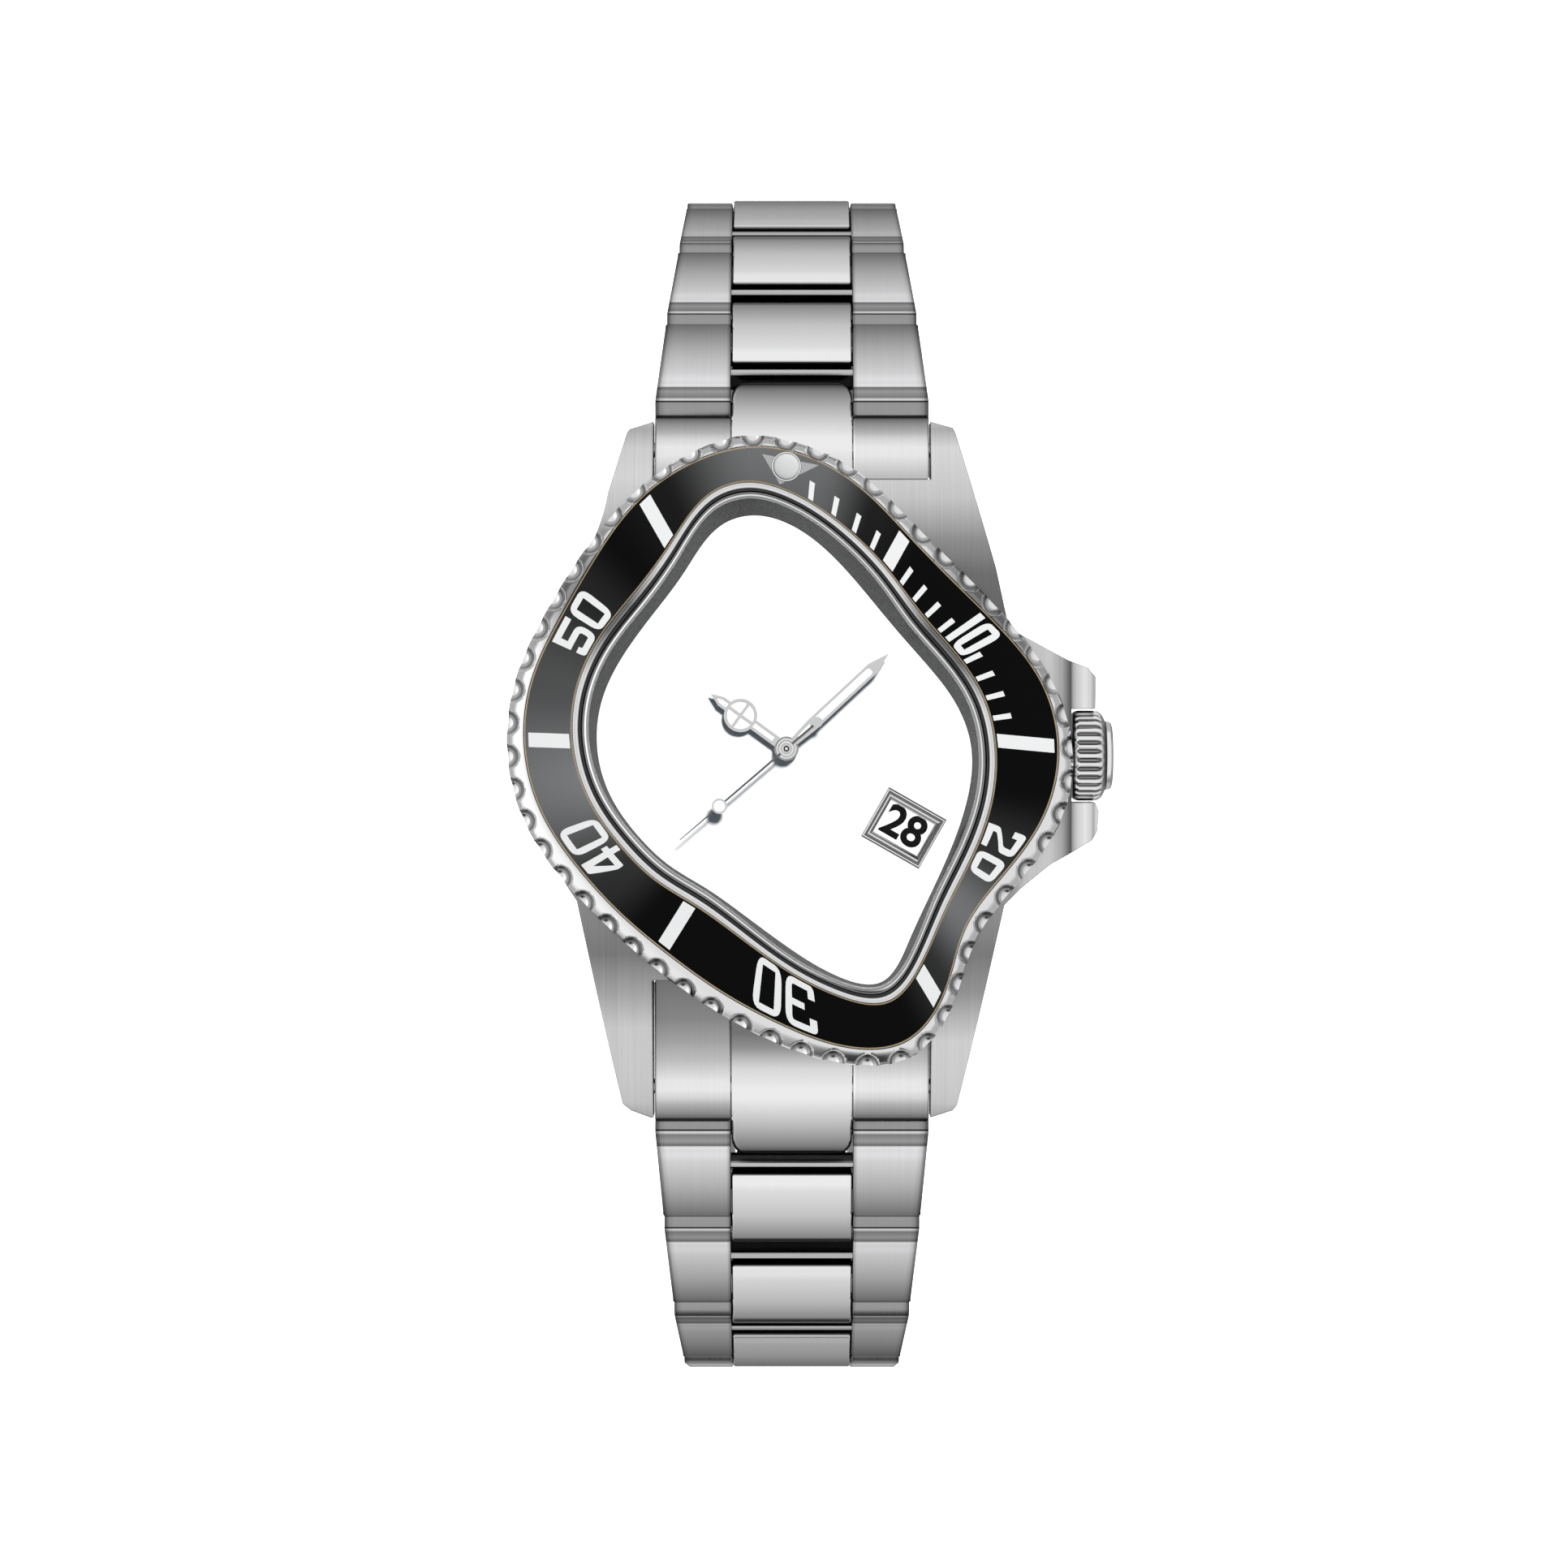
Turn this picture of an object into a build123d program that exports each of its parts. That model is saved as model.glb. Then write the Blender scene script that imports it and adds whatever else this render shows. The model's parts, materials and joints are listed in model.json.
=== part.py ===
"""Dive watch with a warped, melted-looking bezel, on a closed three-link steel bracelet.

Frame: +Z is the dial's normal, +Y points to 12 o'clock, +X to the crown. The origin is on the axis of
the hands, on the outer face of the case back. All sizes are in mm.
"""

import math
import os

from build123d import *

os.makedirs("parts", exist_ok=True)

# ---- heights -------------------------------------------------------------------------------------
BACK_T = 0.88  # case back flange
CASE_Z0, CASE_Z1 = 0.9, 6.9  # mid case
DECK_Z0 = 5.5  # underside of the deck that carries the bezel
DIAL_Z0, DIAL_Z1 = 6.3, 6.75
BEZEL_Z1 = 9.85
INSERT_Z0, INSERT_Z1 = 9.3, 9.8
CRYSTAL_Z0, CRYSTAL_Z1 = 8.6, 10.2
PLATE_Z0, PLATE_Z1 = 5.0, 5.6  # main plate
BRIDGE_Z0, BRIDGE_Z1 = 2.45, 2.85

# ---- plan sizes ----------------------------------------------------------------------------------
MOVE_R = 12.3  # movement
CAVITY_R = 13.2  # room for the movement in the case
THREAD_R = 14.6  # case back thread in the case
BX = 0.4  # the lugs and the bracelet are centred a little towards the crown
LUG_HALF = 10.0  # half of the 20 mm lug gap
CROWN_Y, CROWN_Z = -0.52, 4.2
CROWN_R = 3.285
SCOOPS = 54

# ---- the warped rings: clock angle, dial edge, insert's inner edge, insert's outer edge, bezel edge ----
WARP = [
    (0, 16.1, 18.3, 21.2, 22.0),
    (15, 13.9, 16.2, 19.4, 20.3),
    (30, 12.2, 14.5, 17.45, 18.4),
    (45, 11.5, 13.5, 16.8, 17.8),
    (60, 11.7, 13.7, 17.4, 18.3),
    (75, 12.5, 14.4, 18.7, 19.5),
    (90, 13.2, 14.8, 19.3, 20.4),
    (105, 13.4, 15.0, 18.85, 20.2),
    (120, 13.7, 15.2, 17.8, 19.1),
    (135, 14.6, 16.0, 17.95, 19.2),
    (147, 16.2, 17.8, 20.6, 21.8),
    (158, 18.0, 19.3, 22.4, 23.7),
    (169, 16.3, 17.7, 21.5, 22.9),
    (180, 14.1, 15.65, 19.7, 21.3),
    (195, 12.2, 13.6, 17.85, 19.4),
    (210, 11.5, 12.8, 16.8, 18.3),
    (225, 11.8, 13.1, 16.6, 18.0),
    (240, 12.3, 13.6, 17.0, 18.5),
    (255, 13.0, 14.4, 17.9, 19.4),
    (270, 13.5, 15.1, 18.55, 19.9),
    (285, 13.6, 15.45, 18.7, 19.9),
    (300, 13.4, 15.4, 18.55, 19.7),
    (315, 13.5, 15.4, 19.2, 20.2),
    (330, 14.55, 16.6, 20.6, 21.3),
    (345, 16.7, 19.0, 21.5, 22.3),
    (352, 16.8, 19.1, 21.6, 22.5),
]
DIAL, INNER, OUTER, EDGE = 1, 2, 3, 4


def clock(angle, radius):
    a = math.radians(angle)
    return (radius * math.sin(a), radius * math.cos(a))


def warp_points(column, grow=0.0):
    return [clock(row[0], row[column] + grow) for row in WARP]


def warped(column, grow=0.0, mode=Mode.ADD):
    """A filled sketch inside one of the warped rings, grown outwards by this much."""
    edge = Edge.make_spline([Vector(*p) for p in warp_points(column, grow)], periodic=True)
    return make_face(edge, mode=mode)


def gear_points(teeth, module, phase):
    """A plain trapezoid-toothed gear outline; phase is the angle of one tooth's centre."""
    pitch_r, pts = teeth * module / 2, []
    step = 2 * math.pi / teeth
    root, tip = pitch_r - 1.15 * module, pitch_r + 0.85 * module
    for k in range(teeth):
        c = math.radians(phase) + k * step
        for r, w in ((root, -0.33), (tip, -0.11), (tip, 0.11), (root, 0.33)):
            pts.append((r * math.cos(c + w * step), r * math.sin(c + w * step)))
    return pts


def mesh_phase(from_phase, from_teeth, heading, teeth):
    """The tooth phase of a gear that meshes with another one whose phase is known, along this heading."""
    lag = (heading - from_phase) % (360 / from_teeth)
    return heading + 180 + lag * from_teeth / teeth + 180 / teeth


def polar(radius, angle):
    return (radius * math.cos(math.radians(angle)), radius * math.sin(math.radians(angle)))


def save(part, name):
    part.label = name
    export_step(part, f"parts/{name}.step")


# ==== case ========================================================================================
WALL_12, WALL_6 = 19.3, -16.6  # case walls between the lugs
BAR_12, BAR_6, BAR_Z = 21.6, -24.5, 2.2  # spring bars
LUG_12, LUG_6 = 23.6, -26.65  # lug ends
FACET_X = 20.4  # where the outer faces of the crown guards begin

with BuildPart() as mid_case:
    with BuildSketch():
        with BuildLine():
            left = Spline((-12.8, 18.3), (-13.6, 15.4), (-16.9, 9.0), (-18.9, 0.5), (-17.6, -6.0), (-15.0, -10.9))
            Polyline(left @ 1, (-11.8, -25.6), (-11.2, -26.1), (-9.8, LUG_6), (10.4, LUG_6), (12.0, -26.1))
            Polyline((12.0, -26.1), (12.3, -25.7), (15.6, -11.2), (16.8, -10.0), (18.9, -8.3), (21.9, -6.6))
            Polyline((21.9, -6.6), (22.3, -5.9), (22.4, -4.5), (22.15, -3.87), (FACET_X, -3.87), (FACET_X, 2.83))
            Polyline((FACET_X, 2.83), (22.15, 2.83), (22.2, 5.1), (21.6, 5.8), (20.2, 6.3), (16.7, 8.2))
            Polyline((16.7, 8.2), (15.8, 9.2), (15.0, 12.9), (12.2, 22.7), (12.0, 23.1), (10.3, LUG_12))
            Polyline((10.3, LUG_12), (-9.5, LUG_12), (-11.3, 23.0), (-11.5, 22.7), left @ 0)
        make_face()
    extrude(amount=8)
    # lugs fall away towards both ends
    with BuildSketch(Plane.YZ.offset(-30)):
        with BuildLine():
            a = ThreePointArc((13.5, CASE_Z1), (19.2, 6.0), (LUG_12 + 0.1, 3.9))
            b = Line(a @ 1, (LUG_12 + 0.1, 0.2))
            c = Line(b @ 1, (17.6, CASE_Z0))
            d = Line(c @ 1, (-19.4, CASE_Z0))
            e = Line(d @ 1, (LUG_6 - 0.1, 0.2))
            f = Line(e @ 1, (LUG_6 - 0.1, 3.9))
            g = ThreePointArc(f @ 1, (-22.0, 5.96), (-15.8, CASE_Z1))
            Line(g @ 1, a @ 0)
        make_face()
    extrude(amount=60, mode=Mode.INTERSECT)
    with Locations((BX, WALL_12 + 5, 3)):
        Box(2 * LUG_HALF, 10, 12, mode=Mode.SUBTRACT)
    with Locations((BX, WALL_6 - 7.5, 3)):
        Box(2 * LUG_HALF, 15, 12, mode=Mode.SUBTRACT)
    # the guards fall away outside the facet line
    with BuildSketch(Plane.XZ.offset(9)):
        Polygon((FACET_X, CASE_Z1), (FACET_X + 3, CASE_Z1 - 1.3), (FACET_X + 3, 8), (FACET_X, 8), align=None)
    extrude(amount=-18, mode=Mode.SUBTRACT)
    # deck under the bezel
    with BuildSketch(Plane.XY.offset(DECK_Z0)):
        warped(EDGE, -1.1)
    extrude(amount=CASE_Z1 - DECK_Z0)
    # rooms for the movement, the case back and the dial
    with BuildSketch(Plane.XY.offset(-1)):
        Circle(CAVITY_R)
    extrude(amount=DIAL_Z0 + 1, mode=Mode.SUBTRACT)
    with BuildSketch(Plane.XY.offset(-1)):
        Circle(THREAD_R)
    extrude(amount=3.4, mode=Mode.SUBTRACT)
    with BuildSketch(Plane.XY.offset(DIAL_Z0)):
        warped(DIAL, 0.8)
    extrude(amount=2, mode=Mode.SUBTRACT)
    with BuildSketch(Plane.XY.offset(DIAL_Z1)):
        warped(INNER, -0.45)
    extrude(amount=2, mode=Mode.SUBTRACT)
    # crown tube bore
    with BuildSketch(Plane.YZ.offset(12)):
        with Locations((CROWN_Y, CROWN_Z)):
            Circle(1.1)
    extrude(amount=9, mode=Mode.SUBTRACT)
    # spring bar holes, blind in each lug
    with BuildSketch(Plane.YZ.offset(BX - LUG_HALF - 1.3)):
        with Locations((BAR_12, BAR_Z), (BAR_6, BAR_Z)):
            Circle(0.6)
    extrude(amount=2 * LUG_HALF + 2.6, mode=Mode.SUBTRACT)
save(mid_case.part, "mid_case")

with BuildPart() as case_back:
    with BuildSketch():
        Circle(15.6)
        with PolarLocations(15.6, 6):
            Rectangle(1.6, 1.9, mode=Mode.SUBTRACT)
    extrude(amount=BACK_T)
    with BuildSketch(Plane.XY.offset(BACK_T)):
        Circle(THREAD_R - 0.1)
    extrude(amount=1.45)
    with BuildSketch(Plane.XY.offset(1.4)):
        Circle(13.3)
    extrude(amount=2, mode=Mode.SUBTRACT)
    with BuildSketch(Plane.XY.offset(0.55)):
        Circle(15.3)
        Circle(14.7, mode=Mode.SUBTRACT)
    extrude(amount=1, mode=Mode.SUBTRACT)
save(case_back.part, "case_back")

with BuildPart() as case_back_gasket:
    with BuildSketch(Plane.XY.offset(0.56)):
        Circle(15.27)
        Circle(14.73, mode=Mode.SUBTRACT)
    extrude(amount=CASE_Z0 - 0.57)
save(case_back_gasket.part, "case_back_gasket")

# ==== bezel, crystal and dial ring ================================================================
edge_line = Spline(*warp_points(EDGE, 0.04), periodic=True)
scoop_spots = [edge_line @ (k / SCOOPS) for k in range(SCOOPS)]

with BuildPart() as bezel_ring:
    with BuildSketch(Plane.XY.offset(CASE_Z1)):
        warped(EDGE)
        with Locations(*[(p.X, p.Y) for p in scoop_spots]):
            Circle(0.86, mode=Mode.SUBTRACT)
        warped(INNER, -0.45, mode=Mode.SUBTRACT)
    extrude(amount=BEZEL_Z1 - CASE_Z1)
    with BuildSketch(Plane.XY.offset(INSERT_Z0)):
        warped(OUTER)
        warped(INNER, mode=Mode.SUBTRACT)
    extrude(amount=2, mode=Mode.SUBTRACT)
save(bezel_ring.part, "bezel_ring")

PEARL_Y = 20.0
with BuildPart() as bezel_insert:
    with BuildSketch(Plane.XY.offset(INSERT_Z0)):
        warped(OUTER, -0.02)
        warped(INNER, 0.02, mode=Mode.SUBTRACT)
        with Locations((0, PEARL_Y)):
            Circle(1.1, mode=Mode.SUBTRACT)
    extrude(amount=INSERT_Z1 - INSERT_Z0)
save(bezel_insert.part, "bezel_insert")

with BuildPart() as lume_pearl:
    with Locations((0, PEARL_Y, INSERT_Z0)):
        Cylinder(1.07, 0.8, align=(Align.CENTER, Align.CENTER, Align.MIN))
    fillet(lume_pearl.edges().sort_by(Axis.Z)[-1], 0.25)
save(lume_pearl.part, "lume_pearl")

with BuildPart() as crystal:
    with BuildSketch(Plane.XY.offset(CRYSTAL_Z0)):
        warped(INNER, -0.63)
    extrude(amount=1.1)
    with BuildSketch(Plane.XY.offset(CRYSTAL_Z0 + 1.1)) as crystal_low:
        warped(INNER, -0.63)
    with BuildSketch(Plane.XY.offset(CRYSTAL_Z1)) as crystal_top:
        warped(INNER, -1.13)
    loft()
save(crystal.part, "crystal")

with BuildPart() as crystal_gasket:
    with BuildSketch(Plane.XY.offset(CRYSTAL_Z0)):
        warped(INNER, -0.47)
        warped(INNER, -0.61, mode=Mode.SUBTRACT)
    extrude(amount=1.1)
save(crystal_gasket.part, "crystal_gasket")

with BuildPart() as rehaut_ring:
    with BuildSketch(Plane.XY.offset(DIAL_Z1 + 0.02)):
        warped(INNER, -0.5)
    extrude(amount=CRYSTAL_Z0 - DIAL_Z1 - 0.04)
    with BuildSketch(Plane.XY.offset(DIAL_Z1)):
        warped(DIAL)
    with BuildSketch(Plane.XY.offset(CRYSTAL_Z0)):
        warped(INNER, -1.15)
    loft(mode=Mode.SUBTRACT)
save(rehaut_ring.part, "rehaut_ring")

# ==== dial, date and hands ========================================================================
DATE_AT, DATE_TURN = (8.4, -5.68), -29.7

with BuildPart() as dial:
    with BuildSketch(Plane.XY.offset(DIAL_Z0)):
        warped(DIAL, 0.6)
        Circle(0.75, mode=Mode.SUBTRACT)
        with Locations(Location((*DATE_AT, 0), (0, 0, DATE_TURN))):
            Rectangle(3.55, 2.53, mode=Mode.SUBTRACT)
    extrude(amount=DIAL_Z1 - DIAL_Z0)
save(dial.part, "dial")

with BuildPart() as date_frame:
    with BuildSketch(Plane.XY.offset(DIAL_Z1)):
        with Locations(Location((*DATE_AT, 0), (0, 0, DATE_TURN))):
            Rectangle(4.78, 4.07)
            Rectangle(3.55, 2.53, mode=Mode.SUBTRACT)
    extrude(amount=0.22)
save(date_frame.part, "date_frame")

with BuildPart() as date_ring:
    with BuildSketch(Plane.XY.offset(5.75)):
        Circle(12.05)
        Circle(8.2, mode=Mode.SUBTRACT)
    extrude(amount=0.35)
save(date_ring.part, "date_ring")

HOUR_AT, MINUTE_AT, SECOND_AT = 305.9, 47.1, 229.4  # clock angles at rest
ARBOR_R, CANNON_R, HOUR_TUBE_R = 0.13, 0.36, 0.58

with BuildPart() as hour_hand:
    with BuildSketch(Plane.XY.offset(7.15).rotated((0, 0, -HOUR_AT))):
        Circle(0.87)
        with Locations((0, 2.9)):
            Rectangle(0.76, 5.8)
        Polygon((-0.38, 5.8), (0.38, 5.8), (0, 6.7), align=None)
        with Locations((0, 4.04)):
            Circle(1.2)
            Circle(0.95, mode=Mode.SUBTRACT)
            Rectangle(0.3, 2.0)
            Rectangle(2.0, 0.3)
        Circle(HOUR_TUBE_R + 0.005, mode=Mode.SUBTRACT)
    extrude(amount=0.2)
save(hour_hand.part, "hour_hand")

with BuildPart() as minute_hand:
    with BuildSketch(Plane.XY.offset(7.5).rotated((0, 0, -MINUTE_AT))):
        Circle(0.8)
        Polygon((-0.3, 0), (0.3, 0), (0.45, 2.4), (0.45, 8.4), (0, 9.97), (-0.45, 8.4), (-0.45, 2.4), align=None)
        Circle(CANNON_R + 0.005, mode=Mode.SUBTRACT)
    extrude(amount=0.2)
save(minute_hand.part, "minute_hand")

with BuildPart() as seconds_hand:
    with BuildSketch(Plane.XY.offset(7.85).rotated((0, 0, -SECOND_AT))):
        Circle(0.6)
        with Locations((0, 3.55)):
            Rectangle(0.2, 12.9)
        with Locations((0, 6.3)):
            Circle(0.55)
        with Locations((0, -2.9)):
            Circle(0.38)
        Circle(ARBOR_R + 0.005, mode=Mode.SUBTRACT)
    extrude(amount=0.15)
save(seconds_hand.part, "seconds_hand")

# ==== movement ====================================================================================
THIRD_D, THIRD_A = 5.4, 100
ESC_D, ESC_A = 5.39, -20
BARREL_D, BARREL_A = 7.8, 200
THIRD_AT, ESC_AT, BARREL_AT = polar(THIRD_D, THIRD_A), polar(ESC_D, ESC_A), polar(BARREL_D, BARREL_A)
BALANCE_AT = polar(8.2, -75)
FORK_AT = (3.67, -4.72)
MINW_AT = polar(2.4, 60)
PILLARS = [polar(11.3, a) for a in (40, 150, 245, 320)]
COCK_FOOT = (5.5, -9.9)
THIRD_M = THIRD_D / 42.5

centre_phase = THIRD_A  # a tooth of the centre wheel points at the third wheel
third_pinion_phase = mesh_phase(centre_phase, 80, THIRD_A, 10)
third_wheel_phase = THIRD_A + 180  # a tooth of the third wheel points back at the centre
fourth_pinion_phase = mesh_phase(third_wheel_phase, 75, THIRD_A + 180, 10)
fourth_wheel_phase = ESC_A
esc_pinion_phase = mesh_phase(fourth_wheel_phase, 70, ESC_A, 7)
barrel_phase = mesh_phase(centre_phase, 80, BARREL_A, 50)
cannon_phase = 60
minw_phase = mesh_phase(cannon_phase, 12, 60, 36)
minw_pinion_phase = 240
hourw_phase = mesh_phase(minw_pinion_phase, 10, 240, 40)

with BuildPart() as main_plate:
    with BuildSketch(Plane.XY.offset(PLATE_Z0)):
        Circle(MOVE_R)
        Circle(CANNON_R + 0.05, mode=Mode.SUBTRACT)
        with Locations(THIRD_AT, ESC_AT, BARREL_AT, BALANCE_AT, FORK_AT):
            Circle(0.17, mode=Mode.SUBTRACT)
    extrude(amount=PLATE_Z1 - PLATE_Z0)
    with BuildSketch(Plane.XY.offset(BRIDGE_Z1)):
        with Locations(*PILLARS, COCK_FOOT):
            Circle(0.7)
            Circle(0.32, mode=Mode.SUBTRACT)
    extrude(amount=PLATE_Z0 - BRIDGE_Z1)
    with Locations((MINW_AT[0], MINW_AT[1], PLATE_Z1)):
        Cylinder(0.15, 0.62, align=(Align.CENTER, Align.CENTER, Align.MIN))
save(main_plate.part, "main_plate")

with BuildPart() as train_bridge:
    with BuildSketch(Plane.XY.offset(BRIDGE_Z0)):
        Circle(MOVE_R)
        with Locations(BALANCE_AT):
            Circle(3.7, mode=Mode.SUBTRACT)
        with Locations(COCK_FOOT):
            Circle(1.9, mode=Mode.SUBTRACT)
        with Locations(polar(13.2, -72)):
            Rectangle(8.4, 6.0, rotation=18, mode=Mode.SUBTRACT)
        with Locations((0, 0), THIRD_AT, ESC_AT, BARREL_AT, FORK_AT):
            Circle(0.17, mode=Mode.SUBTRACT)
        with Locations(*PILLARS):
            Circle(0.32, mode=Mode.SUBTRACT)
    extrude(amount=BRIDGE_Z1 - BRIDGE_Z0)
    # post that the rotor turns on
    with BuildSketch(Plane.XY.offset(1.55)):
        Circle(0.8)
        Circle(0.17, mode=Mode.SUBTRACT)
    extrude(amount=BRIDGE_Z0 - 1.55)
save(train_bridge.part, "train_bridge")

with BuildPart() as balance_cock:
    with BuildSketch(Plane.XY.offset(BRIDGE_Z0)):
        with Locations(BALANCE_AT):
            Circle(1.0)
        with Locations(COCK_FOOT):
            Circle(1.0)
        mid = ((BALANCE_AT[0] + COCK_FOOT[0]) / 2, (BALANCE_AT[1] + COCK_FOOT[1]) / 2)
        turn = math.degrees(math.atan2(COCK_FOOT[1] - BALANCE_AT[1], COCK_FOOT[0] - BALANCE_AT[0]))
        with Locations(Location((*mid, 0), (0, 0, turn))):
            Rectangle(4.1, 1.6)
        with Locations(BALANCE_AT):
            Circle(0.17, mode=Mode.SUBTRACT)
        with Locations(COCK_FOOT):
            Circle(0.32, mode=Mode.SUBTRACT)
    extrude(amount=BRIDGE_Z1 - BRIDGE_Z0)
save(balance_cock.part, "balance_cock")

with BuildPart() as movement_screws:
    with BuildSketch(Plane.XY.offset(2.24)):
        with Locations(*PILLARS, COCK_FOOT):
            Circle(0.6)
            Rectangle(1.3, 0.16, mode=Mode.SUBTRACT)
    extrude(amount=0.2)
    with BuildSketch(Plane.XY.offset(2.4)):
        with Locations(*PILLARS, COCK_FOOT):
            Circle(0.3)
    extrude(amount=2.0)
save(movement_screws.part, "movement_screws")

with BuildPart() as movement_holder:
    with BuildSketch(Plane.XY.offset(2.6)):
        Circle(CAVITY_R - 0.05)
        Circle(MOVE_R + 0.05, mode=Mode.SUBTRACT)
    extrude(amount=DIAL_Z0 - 2.62)
    with BuildSketch(Plane.YZ.offset(9)):
        with Locations((CROWN_Y, CROWN_Z)):
            Circle(0.7)
    extrude(amount=6, mode=Mode.SUBTRACT)
save(movement_holder.part, "movement_holder")

with BuildPart() as centre_wheel:
    with BuildSketch(Plane.XY.offset(4.6)):
        Polygon(*gear_points(80, 0.12, centre_phase), align=None)
        with PolarLocations(2.7, 4):
            Circle(1.2, mode=Mode.SUBTRACT)
        Circle(0.17, mode=Mode.SUBTRACT)
    extrude(amount=0.2)
    with BuildSketch(Plane.XY.offset(4.6)):
        Circle(CANNON_R)
        Circle(0.17, mode=Mode.SUBTRACT)
    extrude(amount=7.7 - 4.6)
    with BuildSketch(Plane.XY.offset(5.68)):
        Polygon(*gear_points(12, 0.1, cannon_phase), align=None)
        Circle(0.17, mode=Mode.SUBTRACT)
    extrude(amount=0.25)
save(centre_wheel.part, "centre_wheel")

with BuildPart() as third_wheel:
    with BuildSketch(Plane.XY.offset(4.0)):
        with Locations(THIRD_AT):
            Polygon(*gear_points(75, THIRD_M, third_wheel_phase), align=None)
            with PolarLocations(2.6, 5, start_angle=THIRD_A):
                Circle(1.1, mode=Mode.SUBTRACT)
    extrude(amount=0.2)
    with BuildSketch(Plane.XY.offset(4.2)):
        with Locations(THIRD_AT):
            Polygon(*gear_points(10, 0.12, third_pinion_phase), align=None)
    extrude(amount=0.65)
    with Locations((*THIRD_AT, BRIDGE_Z0 + 0.05)):
        Cylinder(0.12, PLATE_Z1 - BRIDGE_Z0 - 0.1, align=(Align.CENTER, Align.CENTER, Align.MIN))
save(third_wheel.part, "third_wheel")

with BuildPart() as fourth_wheel:
    with BuildSketch(Plane.XY.offset(3.65)):
        Polygon(*gear_points(70, 0.14, fourth_wheel_phase), align=None)
        with PolarLocations(2.7, 4):
            Circle(1.25, mode=Mode.SUBTRACT)
    extrude(amount=0.15)
    with BuildSketch(Plane.XY.offset(3.8)):
        Polygon(*gear_points(10, THIRD_M, fourth_pinion_phase), align=None)
    extrude(amount=0.45)
    with Locations((0, 0, BRIDGE_Z0 + 0.05)):
        Cylinder(ARBOR_R, 8.0 - BRIDGE_Z0 - 0.05, align=(Align.CENTER, Align.CENTER, Align.MIN))
save(fourth_wheel.part, "fourth_wheel")

with BuildPart() as escape_wheel:
    with BuildSketch(Plane.XY.offset(3.6)):
        with Locations(ESC_AT):
            Polygon(*gear_points(7, 0.14, esc_pinion_phase), align=None)
    extrude(amount=0.25)
    with BuildSketch(Plane.XY.offset(4.3)):
        with Locations(ESC_AT):
            Circle(1.45)
            with PolarLocations(1.4, 20):
                Polygon((0, -0.14), (0.5, 0.1), (0.5, 0.16), (0, 0.14), align=None)
            with PolarLocations(0.85, 4):
                Circle(0.34, mode=Mode.SUBTRACT)
    extrude(amount=0.15)
    with Locations((*ESC_AT, BRIDGE_Z0 + 0.05)):
        Cylinder(0.12, PLATE_Z1 - BRIDGE_Z0 - 0.1, align=(Align.CENTER, Align.CENTER, Align.MIN))
save(escape_wheel.part, "escape_wheel")

to_esc = math.degrees(math.atan2(ESC_AT[1] - FORK_AT[1], ESC_AT[0] - FORK_AT[0]))
with BuildPart() as pallet_fork:
    with BuildSketch(Plane.XY.offset(4.3)):
        with Locations(Location((*FORK_AT, 0), (0, 0, to_esc))):
            Polygon((-0.3, -0.3), (0.6, -1.9), (1.2, -1.75), (0.3, 0), align=None)
            Polygon((-0.3, 0.3), (0.6, 1.9), (1.2, 1.75), (0.3, 0), align=None)
            Polygon((0.2, -0.25), (-2.7, -0.16), (-2.7, 0.16), (0.2, 0.25), align=None)
            Circle(0.35)
    extrude(amount=0.15)
    with Locations((*FORK_AT, BRIDGE_Z0 + 0.05)):
        Cylinder(0.12, PLATE_Z1 - BRIDGE_Z0 - 0.1, align=(Align.CENTER, Align.CENTER, Align.MIN))
save(pallet_fork.part, "pallet_fork")

with BuildPart() as balance_wheel:
    with BuildSketch(Plane.XY.offset(3.35)):
        with Locations(BALANCE_AT):
            Circle(3.0)
            Circle(2.6, mode=Mode.SUBTRACT)
            Rectangle(0.4, 5.6)
            Rectangle(5.6, 0.4)
    extrude(amount=0.3)
    with Locations((*BALANCE_AT, BRIDGE_Z0 + 0.05)):
        Cylinder(0.12, PLATE_Z1 - BRIDGE_Z0 - 0.1, align=(Align.CENTER, Align.CENTER, Align.MIN))
    with Locations((*BALANCE_AT, 4.0)):
        Cylinder(0.35, 0.15)
save(balance_wheel.part, "balance_wheel")

spiral = [polar(0.45 + 1.45 * k / 84, k * 360 / 21) for k in range(85)]
outer_spiral = [polar(0.52 + 1.45 * k / 84, k * 360 / 21) for k in range(85)]
with BuildPart() as hairspring:
    with BuildSketch(Plane.XY.offset(2.98)):
        with Locations(BALANCE_AT):
            Polygon(*spiral, *outer_spiral[::-1], align=None)
    extrude(amount=0.15)
    with Locations((BALANCE_AT[0] + 1.935, BALANCE_AT[1], BRIDGE_Z1 + 0.02)):
        Box(0.2, 0.3, 0.3, align=(Align.CENTER, Align.CENTER, Align.MIN))
save(hairspring.part, "hairspring")

with BuildPart() as barrel:
    with BuildSketch(Plane.XY.offset(4.6)):
        with Locations(BARREL_AT):
            Polygon(*gear_points(50, 0.12, barrel_phase), align=None)
    extrude(amount=0.2)
    with Locations((*BARREL_AT, 3.1)):
        Cylinder(2.6, 1.5, align=(Align.CENTER, Align.CENTER, Align.MIN))
    with Locations((*BARREL_AT, BRIDGE_Z0 + 0.05)):
        Cylinder(0.12, PLATE_Z1 - BRIDGE_Z0 - 0.1, align=(Align.CENTER, Align.CENTER, Align.MIN))
save(barrel.part, "barrel")

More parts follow.
